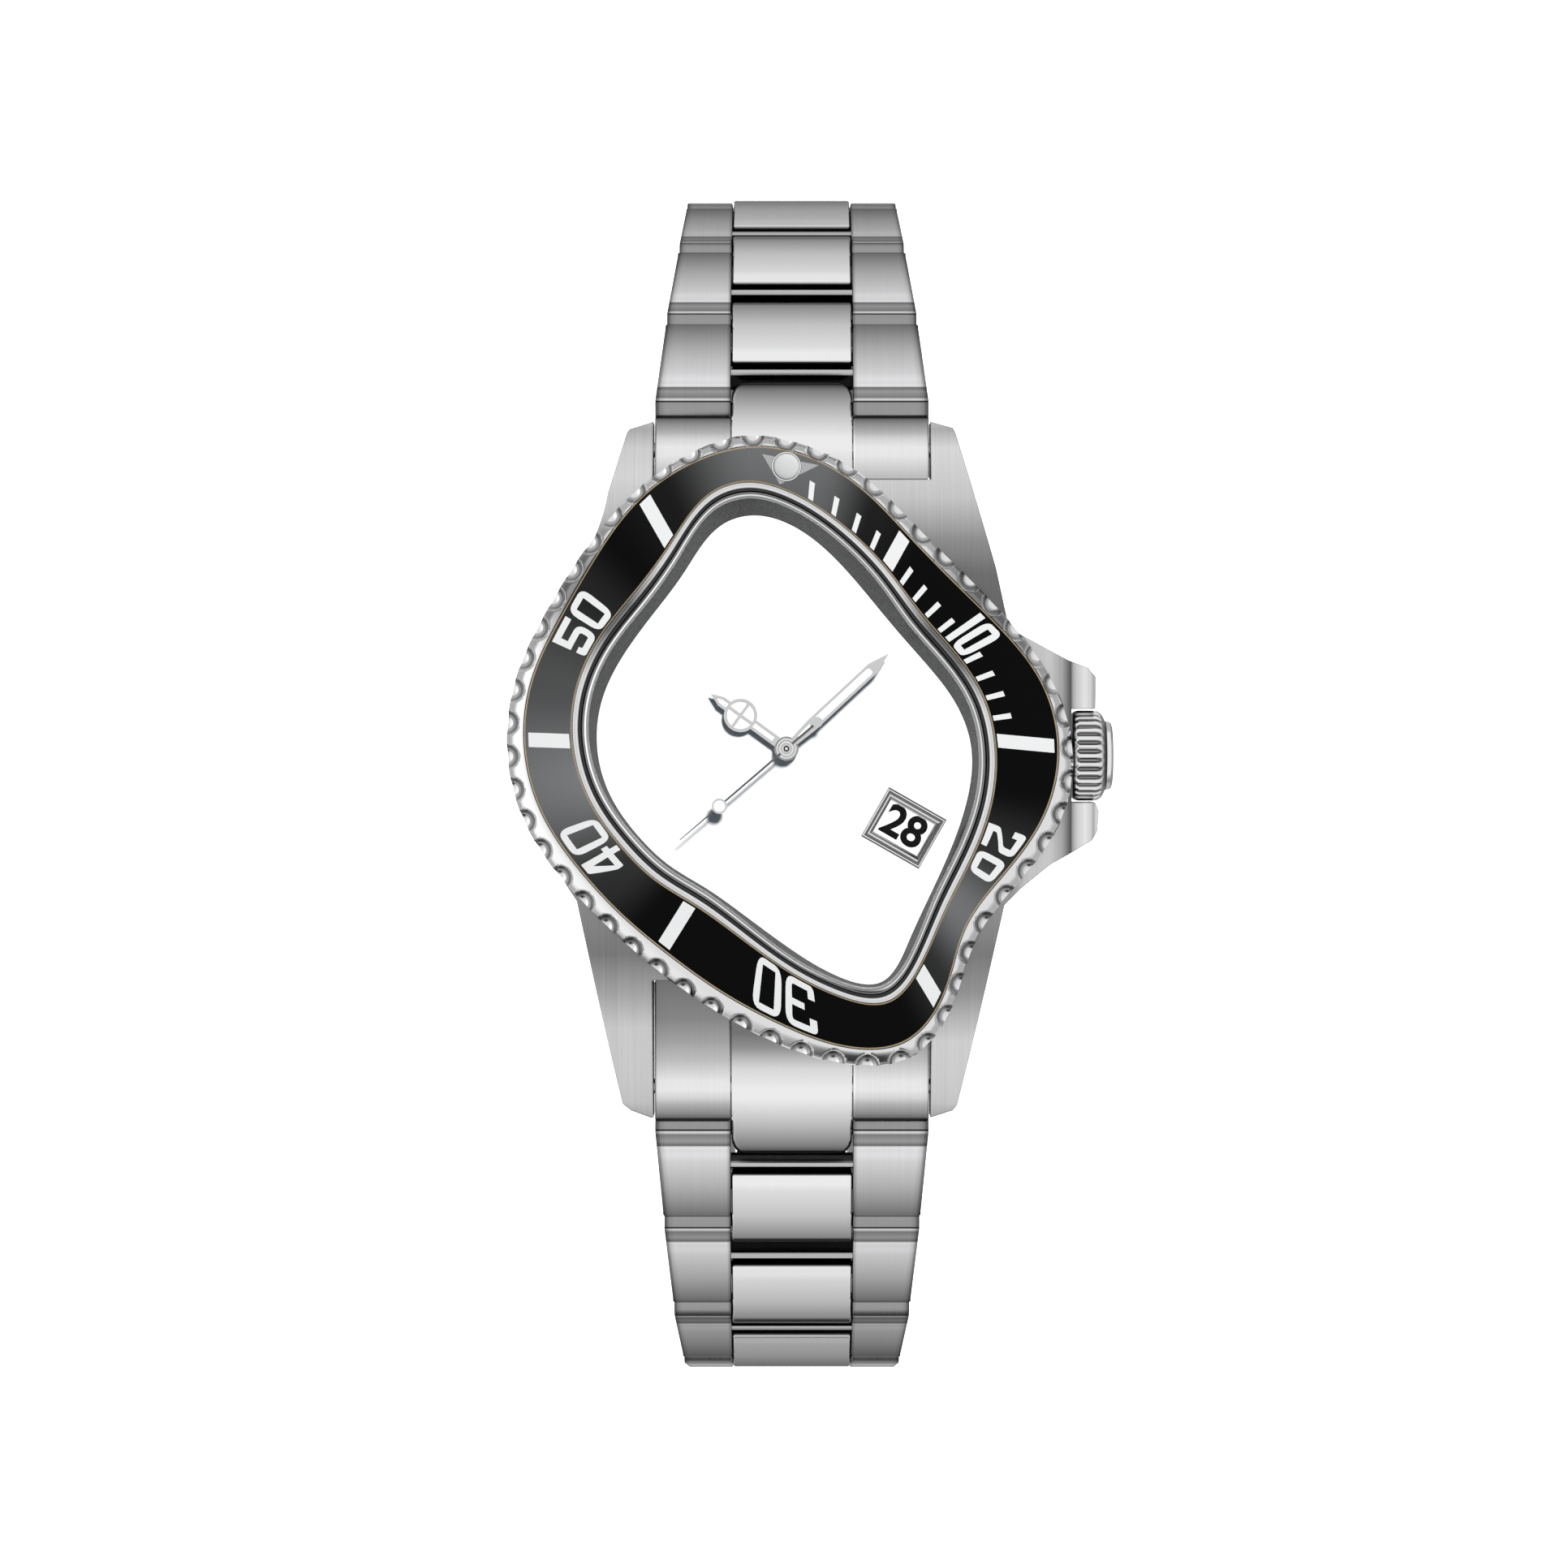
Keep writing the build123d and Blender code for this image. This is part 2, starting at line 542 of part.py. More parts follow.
with BuildPart() as minute_wheel:
    with BuildSketch(Plane.XY.offset(5.7)):
        with Locations(MINW_AT):
            Polygon(*gear_points(36, 0.1, minw_phase), align=None)
            Circle(0.2, mode=Mode.SUBTRACT)
    extrude(amount=0.2)
    with BuildSketch(Plane.XY.offset(5.9)):
        with Locations(MINW_AT):
            Polygon(*gear_points(10, 0.096, minw_pinion_phase), align=None)
            Circle(0.2, mode=Mode.SUBTRACT)
    extrude(amount=0.3)
save(minute_wheel.part, "minute_wheel")

with BuildPart() as hour_wheel:
    with BuildSketch(Plane.XY.offset(6.0)):
        Polygon(*gear_points(40, 0.096, hourw_phase), align=None)
        Circle(CANNON_R + 0.04, mode=Mode.SUBTRACT)
    extrude(amount=0.15)
    with BuildSketch(Plane.XY.offset(6.0)):
        Circle(HOUR_TUBE_R)
        Circle(CANNON_R + 0.04, mode=Mode.SUBTRACT)
    extrude(amount=7.35 - 6.0)
save(hour_wheel.part, "hour_wheel")

with BuildPart() as rotor:
    with BuildSketch(Plane.XY.offset(1.65)):
        Circle(11.8)
        with Locations((0, 6.2)):
            Rectangle(26, 14, mode=Mode.SUBTRACT)
        with Locations((0, 0)):
            Circle(9.2, mode=Mode.SUBTRACT)
        with Locations((0, -5.0)):
            Rectangle(4.2, 9.4)
        Circle(2.3)
        Circle(0.86, mode=Mode.SUBTRACT)
    extrude(amount=0.5)
save(rotor.part, "rotor")

# ==== crown =======================================================================================
with BuildPart() as crown_tube:
    with BuildSketch(Plane.YZ.offset(13.3)):
        with Locations((CROWN_Y, CROWN_Z)):
            Circle(1.07)
            Circle(0.58, mode=Mode.SUBTRACT)
    extrude(amount=21.8 - 13.3)
save(crown_tube.part, "crown_tube")

with BuildPart() as crown_gasket:
    with BuildSketch(Plane.YZ.offset(20.95)):
        with Locations((CROWN_Y, CROWN_Z)):
            Circle(1.66)
            Circle(1.12, mode=Mode.SUBTRACT)
    extrude(amount=0.6)
save(crown_gasket.part, "crown_gasket")

with BuildPart() as crown:
    with BuildSketch(Plane.YZ.offset(20.6)):
        with Locations((CROWN_Y, CROWN_Z)):
            Circle(CROWN_R)
            with PolarLocations(CROWN_R + 0.12, 24):
                Circle(0.3, mode=Mode.SUBTRACT)
    extrude(amount=2.1)
    with BuildSketch(Plane.YZ.offset(22.7)):
        with Locations((CROWN_Y, CROWN_Z)):
            Circle(2.5)
    extrude(amount=0.8)
    with BuildSketch(Plane.YZ.offset(20)):
        with Locations((CROWN_Y, CROWN_Z)):
            Circle(1.76)
    extrude(amount=2.4, mode=Mode.SUBTRACT)
save(crown.part, "crown")

with BuildPart() as winding_stem:
    with BuildSketch(Plane.YZ.offset(8.7)):
        with Locations((CROWN_Y, CROWN_Z)):
            Circle(0.5)
    extrude(amount=22.4 - 8.7)
save(winding_stem.part, "winding_stem")

# ==== bracelet ====================================================================================
PITCH = 6.9  # from pin to pin
HALF_T = 1.45  # half the thickness of a side link
MID_HALF_T = 1.35  # half the thickness of a centre link
MID_HALF_W = 4.35
MID_START, NOSE = 3.4, 1.5  # a centre link begins here, and reaches this far past the next pin
BAR_AT = 2.5  # thin bar between neighbouring centre links
SLOT_HALF = 4.43  # inner faces of the side links
LIP_TOP, LIP_LOW = 0.35, 0.88  # how far a side link stops short of the next pin, outside and inside
PIN_R, PIN_HOLE_R = 0.5, 0.55
HALF_WIDTHS = {
    "12": [9.88, 9.1, 8.3, 7.85, 7.8, 7.8, 7.8, 7.8, 7.8],
    "6": [9.88, 9.25, 8.6, 8.0, 7.8, 7.8, 7.8, 7.8, 7.8],
}
START_12, START_6, PIVOT_Z = 24.6, -27.5, 2.2
SLOPES_12 = [25, 40, 60, 87, 114, 140, 162, 179.54]  # each row's slope below level
SLOPES_6 = [10, 26, 54, 80, 104, 128, 150, 172]


def chain(start, slopes):
    """Pin positions (distance outwards, height) along one half of the bracelet."""
    spots = [(start, PIVOT_Z)]
    for s in slopes:
        y, z = spots[-1]
        spots.append((y + PITCH * math.cos(math.radians(s)), z - PITCH * math.sin(math.radians(s))))
    return spots


PINS_12 = chain(START_12, SLOPES_12)
PINS_6 = chain(-START_6, SLOPES_6)


def row_part(half0, half1, last_flat):
    """One bracelet row in its own frame: its first pin on the X axis, running towards +Y, outside up."""
    with BuildPart() as row:
        # side links
        with BuildSketch(Plane.YZ.offset(-12)):
            far = PITCH - 1.3 if last_flat else PITCH
            tip_top = far if last_flat else far - LIP_TOP
            tip_low = far if last_flat else far - LIP_LOW
            Polygon((0, -HALF_T), (tip_low, -HALF_T), (tip_top, HALF_T), (0, HALF_T), align=None)
            Circle(HALF_T)
            if not last_flat:
                with Locations((PITCH, 0)):
                    Circle(HALF_T + 0.1, mode=Mode.SUBTRACT)
            with Locations((0, 0), (4.1, 0)):
                Circle(PIN_R + 0.01, mode=Mode.SUBTRACT)
        extrude(amount=24)
        with BuildSketch(Plane.XY.offset(-3)):
            Polygon((-half0, -2), (half0, -2), (half0, 0), (half1, PITCH), (-half1, PITCH), (-half0, 0), align=None)
            with Locations((0, 2)):
                Rectangle(2 * SLOT_HALF, 20, mode=Mode.SUBTRACT)
        extrude(amount=6, mode=Mode.INTERSECT)
        # centre link, reaching past the next pin
        with BuildSketch(Plane.YZ.offset(-MID_HALF_W)):
            end = PITCH - 1.3 if last_flat else PITCH + NOSE
            with Locations(((MID_START + end) / 2, 0)):
                RectangleRounded(end - MID_START, 2 * MID_HALF_T, 0.2 if last_flat else 0.6)
            if not last_flat:
                with Locations((PITCH, 0)):
                    Circle(PIN_HOLE_R, mode=Mode.SUBTRACT)
            with Locations((4.1, 0)):
                Circle(PIN_R + 0.01, mode=Mode.SUBTRACT)
        extrude(amount=2 * MID_HALF_W)
        # cross bar between neighbouring centre links
        with Locations((0, BAR_AT, 0)):
            Box(2 * SLOT_HALF - 0.02, 0.5, 2.2)
        # pins
        for spot, reach in ((0, half0 - 0.5), (4.1, half1 - 0.4)):
            with BuildSketch(Plane.YZ.offset(-reach)):
                with Locations((spot, 0)):
                    Circle(PIN_R)
            extrude(amount=2 * reach)
    return row.part


for side, pins, slopes in (("12", PINS_12, SLOPES_12), ("6", PINS_6, SLOPES_6)):
    for k, slope in enumerate(slopes):
        half0, half1 = HALF_WIDTHS[side][k], HALF_WIDTHS[side][k + 1]
        own = row_part(half0, half1, side == "12" and k == len(slopes) - 1)
        y, z = pins[k]
        own = Location((0, y, z), (-slope, 0, 0)) * own
        if side == "6":
            own = Location((0, 0, 0), (0, 0, 180)) * own
        save(Location((BX, 0, 0)) * own, f"row_{side}_{k + 1}")


def end_link(pin_y, wall_y, back_top):
    """The solid link between the lugs, in the 12 o'clock sense; it holds the first pin's centre piece."""
    back = wall_y + 0.1 - pin_y
    with BuildPart() as link:
        with BuildSketch(Plane.YZ.offset(-9.88)):
            with BuildLine():
                top = Spline((back, back_top), (-2.6, 2.0), (-LIP_TOP, HALF_T))
                Polyline(top @ 1, (-LIP_LOW, -HALF_T), (back, -1.2), top @ 0)
            make_face()
            Circle(HALF_T + 0.1, mode=Mode.SUBTRACT)
        extrude(amount=2 * 9.88)
        with Locations((0, 0, 0)):
            Box(2 * MID_HALF_W, 4.4, 4, mode=Mode.SUBTRACT)
        with BuildSketch(Plane.YZ.offset(-MID_HALF_W)):
            Polygon((-2.3, -HALF_T), (0, -MID_HALF_T), (0, MID_HALF_T), (-2.3, 1.9), align=None)
            Circle(MID_HALF_T)
            Circle(PIN_HOLE_R, mode=Mode.SUBTRACT)
        extrude(amount=2 * MID_HALF_W)
        # slots that part the centre piece from the sides
        with Locations((-MID_HALF_W - 0.04, 0, 0), (MID_HALF_W + 0.04, 0, 0)):
            Box(0.08, 3.4, 6, mode=Mode.SUBTRACT)
        # bore for the spring bar
        with BuildSketch(Plane.YZ.offset(-10)):
            with Locations((-3.0, 0)):
                Circle(0.8)
        extrude(amount=20, mode=Mode.SUBTRACT)
    return link.part


link_12 = Location((BX, START_12, PIVOT_Z)) * end_link(START_12, WALL_12, 2.75)
link_6 = Location((BX, START_6, PIVOT_Z), (0, 0, 180)) * end_link(-START_6, -WALL_6, 3.15)
save(link_12, "end_link_12")
save(link_6, "end_link_6")

with BuildPart() as spring_bars:
    for y in (BAR_12, BAR_6):
        with BuildSketch(Plane.YZ.offset(BX - LUG_HALF + 0.15)):
            with Locations((y, BAR_Z)):
                Circle(0.76)
        extrude(amount=2 * LUG_HALF - 0.3)
        with BuildSketch(Plane.YZ.offset(BX - LUG_HALF - 1.2)):
            with Locations((y, BAR_Z)):
                Circle(0.55)
        extrude(amount=2 * LUG_HALF + 2.4)
save(spring_bars.part, "spring_bars")

# ==== clasp =======================================================================================
P6 = (-PINS_6[-1][0], PINS_6[-1][1])  # the last pin of the 6 o'clock half
P12 = PINS_12[-1]  # where the 12 o'clock half meets the cover
CLASP_Z = P6[1]
HINGE_A = (P6[0] + 4.2, CLASP_Z - 1.3)  # cover to outer blade
HINGE_B = (P12[0] - 5.0, CLASP_Z - 0.55)  # outer blade to inner blade
COVER_Z0 = CLASP_Z - 3.0
KNUCKLE_R = 0.8

print("pins 12", [(round(a, 2), round(b, 2)) for a, b in PINS_12])
print("pins 6", [(round(a, 2), round(b, 2)) for a, b in PINS_6])
print("A", HINGE_A, "B", HINGE_B, "P6", P6, "P12", P12)

with BuildPart() as clasp_cover:
    with BuildSketch(Plane.YZ.offset(BX - 8.9)):
        Polygon((P6[0] + 2.6, COVER_Z0 + 0.9), (HINGE_A[0] + 0.2, COVER_Z0), (P12[0] - 0.2, COVER_Z0),
                (P12[0] + 0.8, COVER_Z0 + 1.1), (P12[0] + 0.8, CLASP_Z + 0.9), (P6[0] + 2.6, CLASP_Z + 0.9), align=None)
    extrude(amount=2 * 8.9)
    # the channel inside it
    with BuildSketch(Plane.YZ.offset(BX - 8.1)):
        Polygon((P6[0] - 5, COVER_Z0 + 0.8), (P12[0] + 5, COVER_Z0 + 0.8), (P12[0] + 5, 0), (P6[0] - 5, 0), align=None)
    extrude(amount=2 * 8.1, mode=Mode.SUBTRACT)
    with BuildSketch(Plane.YZ.offset(BX - 8.1)):
        Polygon((P6[0], COVER_Z0 - 1), (HINGE_A[0] - 0.1, COVER_Z0 - 1), (HINGE_A[0] - 0.1, CLASP_Z), (P6[0], CLASP_Z), align=None)
    extrude(amount=2 * 8.1, mode=Mode.SUBTRACT)
    with BuildSketch(Plane.YZ.offset(BX - 8.1)):
        with Locations(HINGE_A):
            Circle(0.4)
        with Locations((P12[0], CLASP_Z)):
            Circle(0.7)
    extrude(amount=2 * 8.1)
save(clasp_cover.part, "clasp_cover")

with BuildPart() as clasp_blade_outer:
    with BuildSketch(Plane.YZ.offset(BX - 3.0)):
        with Locations(HINGE_A, HINGE_B):
            Circle(KNUCKLE_R)
        Polygon((HINGE_A[0], HINGE_A[1] - 0.35), (HINGE_B[0], HINGE_A[1] - 0.35), (HINGE_B[0], HINGE_A[1] + 0.4),
                (HINGE_A[0], HINGE_A[1] + 0.4), align=None)
        with Locations(HINGE_A):
            Circle(0.45, mode=Mode.SUBTRACT)
        with Locations(HINGE_B):
            Circle(0.45, mode=Mode.SUBTRACT)
    extrude(amount=6.0)
save(clasp_blade_outer.part, "clasp_blade_outer")

with BuildPart() as clasp_blade_inner:
    with BuildSketch(Plane.YZ.offset(BX - 6.2)):
        Polygon((P6[0], CLASP_Z - 0.4), (HINGE_B[0], CLASP_Z - 0.4), (HINGE_B[0], CLASP_Z + 0.25),
                (HINGE_B[0] - 1, CLASP_Z + 0.4), (P6[0], CLASP_Z + 0.4), align=None)
        with Locations(P6):
            Circle(1.3)
        with Locations(HINGE_B):
            Circle(KNUCKLE_R)
    extrude(amount=12.4)
    with Locations((BX, P6[0], CLASP_Z)):
        Box(9.0, 4.2, 6, mode=Mode.SUBTRACT)
    with Locations((BX, HINGE_B[0], CLASP_Z)):
        Box(6.2, 2.0, 6, mode=Mode.SUBTRACT)
    with BuildSketch(Plane.YZ.offset(BX - 6.2)):
        with Locations(P6):
            Circle(PIN_R)
        with Locations(HINGE_B):
            Circle(0.4)
    extrude(amount=12.4)
save(clasp_blade_inner.part, "clasp_blade_inner")
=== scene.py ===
"""Looks of the dive watch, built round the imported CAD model.

Frame, as in the CAD: +Z is the dial's normal, +Y points to 12 o'clock and +X to the crown. Sizes in this
script are in millimetres, and MM turns them into metres where a mesh, a curve or a shader takes them.
"""

import json
import math

import bmesh
import bpy
import numpy as np
from mathutils import Matrix, Vector

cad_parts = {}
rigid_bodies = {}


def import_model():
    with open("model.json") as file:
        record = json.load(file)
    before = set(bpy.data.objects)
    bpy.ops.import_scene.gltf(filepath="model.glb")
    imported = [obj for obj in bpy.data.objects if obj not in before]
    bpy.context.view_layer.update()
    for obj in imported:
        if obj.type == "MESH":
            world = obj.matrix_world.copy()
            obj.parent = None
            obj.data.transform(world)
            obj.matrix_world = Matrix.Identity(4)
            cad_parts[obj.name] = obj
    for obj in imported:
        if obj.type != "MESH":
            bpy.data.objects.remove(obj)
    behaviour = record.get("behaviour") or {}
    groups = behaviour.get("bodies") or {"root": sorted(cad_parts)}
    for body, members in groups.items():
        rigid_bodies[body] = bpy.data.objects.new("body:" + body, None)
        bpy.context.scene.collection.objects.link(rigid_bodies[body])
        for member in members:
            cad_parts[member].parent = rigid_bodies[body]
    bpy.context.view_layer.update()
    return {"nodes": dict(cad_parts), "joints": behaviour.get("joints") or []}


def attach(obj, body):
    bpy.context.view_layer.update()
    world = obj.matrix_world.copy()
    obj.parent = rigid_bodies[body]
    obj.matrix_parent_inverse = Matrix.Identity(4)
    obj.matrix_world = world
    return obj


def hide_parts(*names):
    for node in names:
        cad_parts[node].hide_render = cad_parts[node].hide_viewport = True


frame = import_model()

MM = 0.001
JOINTS = {joint["name"]: joint for joint in frame["joints"]}

# ---- heights and plan sizes, as in the CAD -------------------------------------------------------
INSERT_Z1 = 9.8
BX = 0.4  # the bracelet's middle
CROWN_Y, CROWN_Z = -0.52, 4.2
SCOOPS = 54
PEARL_Y, PEARL_R = 20.0, 1.07
DATE_AT, DATE_TURN = (8.4, -5.68), -29.7
HOUR_AT, MINUTE_AT, SECOND_AT = 305.9, 47.1, 229.4

# clock angle, then the radius of the dial's edge, the insert's inner and outer edges, and the bezel's edge
WARP = [
    (0, 16.1, 18.3, 21.2, 22.0),
    (15, 13.9, 16.2, 19.4, 20.3),
    (30, 12.2, 14.5, 17.45, 18.4),
    (45, 11.5, 13.5, 16.8, 17.8),
    (60, 11.7, 13.7, 17.4, 18.3),
    (75, 12.5, 14.4, 18.7, 19.5),
    (90, 13.2, 14.8, 19.3, 20.4),
    (105, 13.4, 15.0, 18.85, 20.2),
    (120, 13.7, 15.2, 17.8, 19.1),
    (135, 14.6, 16.0, 17.95, 19.2),
    (147, 16.2, 17.8, 20.6, 21.8),
    (158, 18.0, 19.3, 22.4, 23.7),
    (169, 16.3, 17.7, 21.5, 22.9),
    (180, 14.1, 15.65, 19.7, 21.3),
    (195, 12.2, 13.6, 17.85, 19.4),
    (210, 11.5, 12.8, 16.8, 18.3),
    (225, 11.8, 13.1, 16.6, 18.0),
    (240, 12.3, 13.6, 17.0, 18.5),
    (255, 13.0, 14.4, 17.9, 19.4),
    (270, 13.5, 15.1, 18.55, 19.9),
    (285, 13.6, 15.45, 18.7, 19.9),
    (300, 13.4, 15.4, 18.55, 19.7),
    (315, 13.5, 15.4, 19.2, 20.2),
    (330, 14.55, 16.6, 20.6, 21.3),
    (345, 16.7, 19.0, 21.5, 22.3),
    (352, 16.8, 19.1, 21.6, 22.5),
]
DIAL, INNER, OUTER, EDGE = 1, 2, 3, 4


def clock(angle, radius):
    a = np.radians(angle)
    return radius * np.sin(a), radius * np.cos(a)


def closed_spline(points, count):
    """Evenly spread points, by parameter, on the closed cubic spline through these points."""
    p = np.asarray(points, float)
    n = len(p)
    h = np.linalg.norm(np.roll(p, -1, 0) - p, axis=1)
    before = np.roll(h, 1)
    slope = (np.roll(p, -1, 0) - p) / h[:, None]
    system = np.zeros((n, n))
    for i in range(n):
        system[i, i - 1] = before[i]
        system[i, i] = 2 * (before[i] + h[i])
        system[i, (i + 1) % n] = h[i]
    bend = np.linalg.solve(system, 6 * (slope - np.roll(slope, 1, 0)))
    knots = np.concatenate([[0], np.cumsum(h)])
    s = np.linspace(0, knots[-1], count, endpoint=False)
    i = np.clip(np.searchsorted(knots, s, side="right") - 1, 0, n - 1)
    j = (i + 1) % n
    a, b, w = (knots[i + 1] - s)[:, None], (s - knots[i])[:, None], h[i][:, None]
    return (
        (bend[i] * a**3 + bend[j] * b**3) / (6 * w)
        + (p[i] / w - bend[i] * w / 6) * a
        + (p[j] / w - bend[j] * w / 6) * b
    )


def clock_angle(points):
    return np.degrees(np.arctan2(points[:, 0], points[:, 1])) % 360


RING_TABLE = {}
for ring_column in (DIAL, INNER, OUTER, EDGE):
    dense = closed_spline([clock(row[0], row[ring_column]) for row in WARP], 4000)
    order = np.argsort(clock_angle(dense))
    RING_TABLE[ring_column] = (clock_angle(dense)[order], np.linalg.norm(dense, axis=1)[order])


def ring_radius(column, angle):
    """The radius of a warped ring at this clock angle or angles."""
    angles, radii = RING_TABLE[column]
    return np.interp(np.asarray(angle) % 360, angles, radii, period=360)


# ==== mesh helpers ================================================================================
def finish_mesh(mesh, material, smooth_below=35):
    """The material, and smooth shading that is split at edges sharper than this many degrees."""
    mesh.materials.clear()
    mesh.materials.append(material)
    mesh.polygons.foreach_set("use_smooth", [True] * len(mesh.polygons))
    mesh.set_sharp_from_angle(angle=math.radians(smooth_below))
    mesh.update()
    return mesh


def place(name, mesh, body, replaces=()):
    piece = bpy.data.objects.new(name, mesh)
    bpy.context.scene.collection.objects.link(piece)
    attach(piece, body)
    if replaces:
        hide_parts(*replaces)
    return piece


def closed_mesh(name, verts, faces, merge=False):
    """A mesh from points in millimetres, facing outwards; merge joins the points that lie on each other."""
    mesh = bpy.data.meshes.new(name)
    mesh.from_pydata([tuple(float(c) * MM for c in v) for v in verts], [], faces)
    if not merge:
        mesh.validate()
    work = bmesh.new()
    work.from_mesh(mesh)
    if merge:
        bmesh.ops.remove_doubles(work, verts=work.verts, dist=2e-7)
    bmesh.ops.recalc_face_normals(work, faces=work.faces)
    work.to_mesh(mesh)
    work.free()
    return mesh


def even_shading(piece):
    piece.modifiers.new("even_shading", "WEIGHTED_NORMAL").keep_sharp = True


def add_mesh(name, verts, faces, material, body, replaces=(), smooth_below=35):
    """A piece from points in millimetres."""
    return place(name, finish_mesh(closed_mesh(name, verts, faces), material, smooth_below), body,
                 replaces)


def merged_mesh(name, verts, faces, material, body, replaces=(), smooth_below=35):
    """As add_mesh, with the points that lie on each other merged, and even shading on its flats."""
    mesh = finish_mesh(closed_mesh(name, verts, faces, merge=True), material, smooth_below)
    piece = place(name, mesh, body, replaces)
    even_shading(piece)
    return piece


def ring_faces(rows, columns, closed=True):
    """Quads between rows of points. Closed joins the last row to the first; otherwise both are capped."""
    faces = []
    for i in range(rows if closed else rows - 1):
        a, b = i * columns, (i + 1) % rows * columns
        for j in range(columns):
            k = (j + 1) % columns
            faces.append((a + j, a + k, b + k, b + j))
    if not closed:
        faces += [tuple(range(columns)), tuple(range((rows - 1) * columns, rows * columns))]
    return faces


def warped_ring(name, profile, material, body, replaces=(), columns=1080, smooth_below=35):
    """A closed ring whose section is a list of (warped ring, grow, height)."""
    angles = np.arange(columns) * 360 / columns
    verts = []
    for column, grow, z in profile:
        x, y = clock(angles, ring_radius(column, angles) + grow)
        verts += list(zip(x, y, [z] * columns))
    faces = ring_faces(len(profile), columns)
    return add_mesh(name, verts, faces, material, body, replaces, smooth_below)


def plate(name, loops, thickness, round_by, steps, unit):
    """A mesh of a flat plate about height 0, from closed loops of (x, y), the inner ones being holes."""
    curve = bpy.data.curves.new(name + "_outline", "CURVE")
    curve.dimensions, curve.fill_mode = "2D", "BOTH"
    curve.extrude = (thickness / 2 - round_by) * unit
    curve.bevel_depth, curve.bevel_resolution, curve.offset = round_by * unit, steps, -round_by * unit
    for loop in loops:
        spline = curve.splines.new("POLY")
        spline.points.add(len(loop) - 1)
        for point, (x, y) in zip(spline.points, loop):
            point.co = (x * unit, y * unit, 0, 1)
        spline.use_cyclic_u = True
    holder = bpy.data.objects.new(name + "_outline", curve)
    mesh = bpy.data.meshes.new_from_object(holder)
    bpy.data.objects.remove(holder)
    return mesh


def outline_mesh(name, loops, thickness, z, material, body, replaces=(), round_by=0.0, turn=0.0):
    """A flat plate from closed loops in millimetres, turned about the hands' axis; its top is at height z."""
    mesh = plate(name, loops, thickness, round_by, 1, MM)
    middle = Matrix.Translation((0, 0, (z - thickness / 2) * MM))
    mesh.transform(middle @ Matrix.Rotation(math.radians(turn), 4, "Z"))
    mesh.name = name
    return place(name, finish_mesh(mesh, material), body, replaces)


def circle(x, y, r, count=64, start=0.0, sweep=360.0):
    """Points of a circle, or of an arc with both its ends."""
    full = abs(sweep) >= 360
    steps = np.arange(count) / (count if full else count - 1)
    a = np.radians(start + sweep * steps)
    return list(zip(x + r * np.cos(a), y + r * np.sin(a)))


def rounded(points, radii, steps=6):
    """A polygon with its corners rounded: one radius for each corner, 0 for a sharp one."""
    out = []
    n = len(points)
    for i, (p, r) in enumerate(zip(points, radii)):
        p = np.array(p, float)
        if r <= 0:
            out.append(tuple(p))
            continue
        a = np.array(points[i - 1], float) - p
        b = np.array(points[(i + 1) % n], float) - p
        cut = min(r, np.linalg.norm(a) / 2, np.linalg.norm(b) / 2)
        start, end = p + a / np.linalg.norm(a) * cut, p + b / np.linalg.norm(b) * cut
        for s in np.linspace(0, 1, steps):
            out.append(tuple((1 - s) ** 2 * start + 2 * s * (1 - s) * p + s**2 * end))
    return out


# ==== materials ===================================================================================
def new_material(name, colour, metallic, roughness):
    material = bpy.data.materials.new(name)
    material.use_nodes = True
    shader = material.node_tree.nodes["Principled BSDF"]
    shader.inputs["Base Color"].default_value = (*colour, 1)
    shader.inputs["Metallic"].default_value = metallic
    shader.inputs["Roughness"].default_value = roughness
    return material, material.node_tree, shader


def noise(tree, scale, detail=3.0, rough=0.5):
    """A noise texture in the shared frame; scale is cells per millimetre along x, y and z."""
    place_at = tree.nodes.new("ShaderNodeTexCoord")
    mapping = tree.nodes.new("ShaderNodeMapping")
    mapping.inputs["Scale"].default_value = [s / MM for s in scale]
    texture = tree.nodes.new("ShaderNodeTexNoise")
    texture.inputs["Scale"].default_value = 1.0
    texture.inputs["Detail"].default_value = detail
    texture.inputs["Roughness"].default_value = rough
    tree.links.new(place_at.outputs["Object"], mapping.inputs["Vector"])
    tree.links.new(mapping.outputs["Vector"], texture.inputs["Vector"])
    return texture.outputs["Fac"]


def spread(tree, value, low, high, start=0.3, end=0.7):
    """A value taken from its start..end range to low..high."""
    node = tree.nodes.new("ShaderNodeMapRange")
    node.inputs["From Min"].default_value = start
    node.inputs["From Max"].default_value = end
    node.inputs["To Min"].default_value = low
    node.inputs["To Max"].default_value = high
    tree.links.new(value, node.inputs["Value"])
    return node.outputs["Result"]


def ramp_colour(tree, value, stops, interpolation="LINEAR"):
    """A colour that follows a value from 0 to 1, by (value, colour) stops."""
    ramp = tree.nodes.new("ShaderNodeValToRGB")
    ramp.color_ramp.interpolation = interpolation
    while len(ramp.color_ramp.elements) < len(stops):
        ramp.color_ramp.elements.new(0.5)
    for element, (at, colour) in zip(ramp.color_ramp.elements, stops):
        element.position = at
        element.color = (*colour, 1)
    tree.links.new(value, ramp.inputs["Fac"])
    return ramp.outputs["Color"]


def tint(tree, value, dark, light):
    """A colour between dark and light."""
    return ramp_colour(tree, value, [(0.3, dark), (0.7, light)])


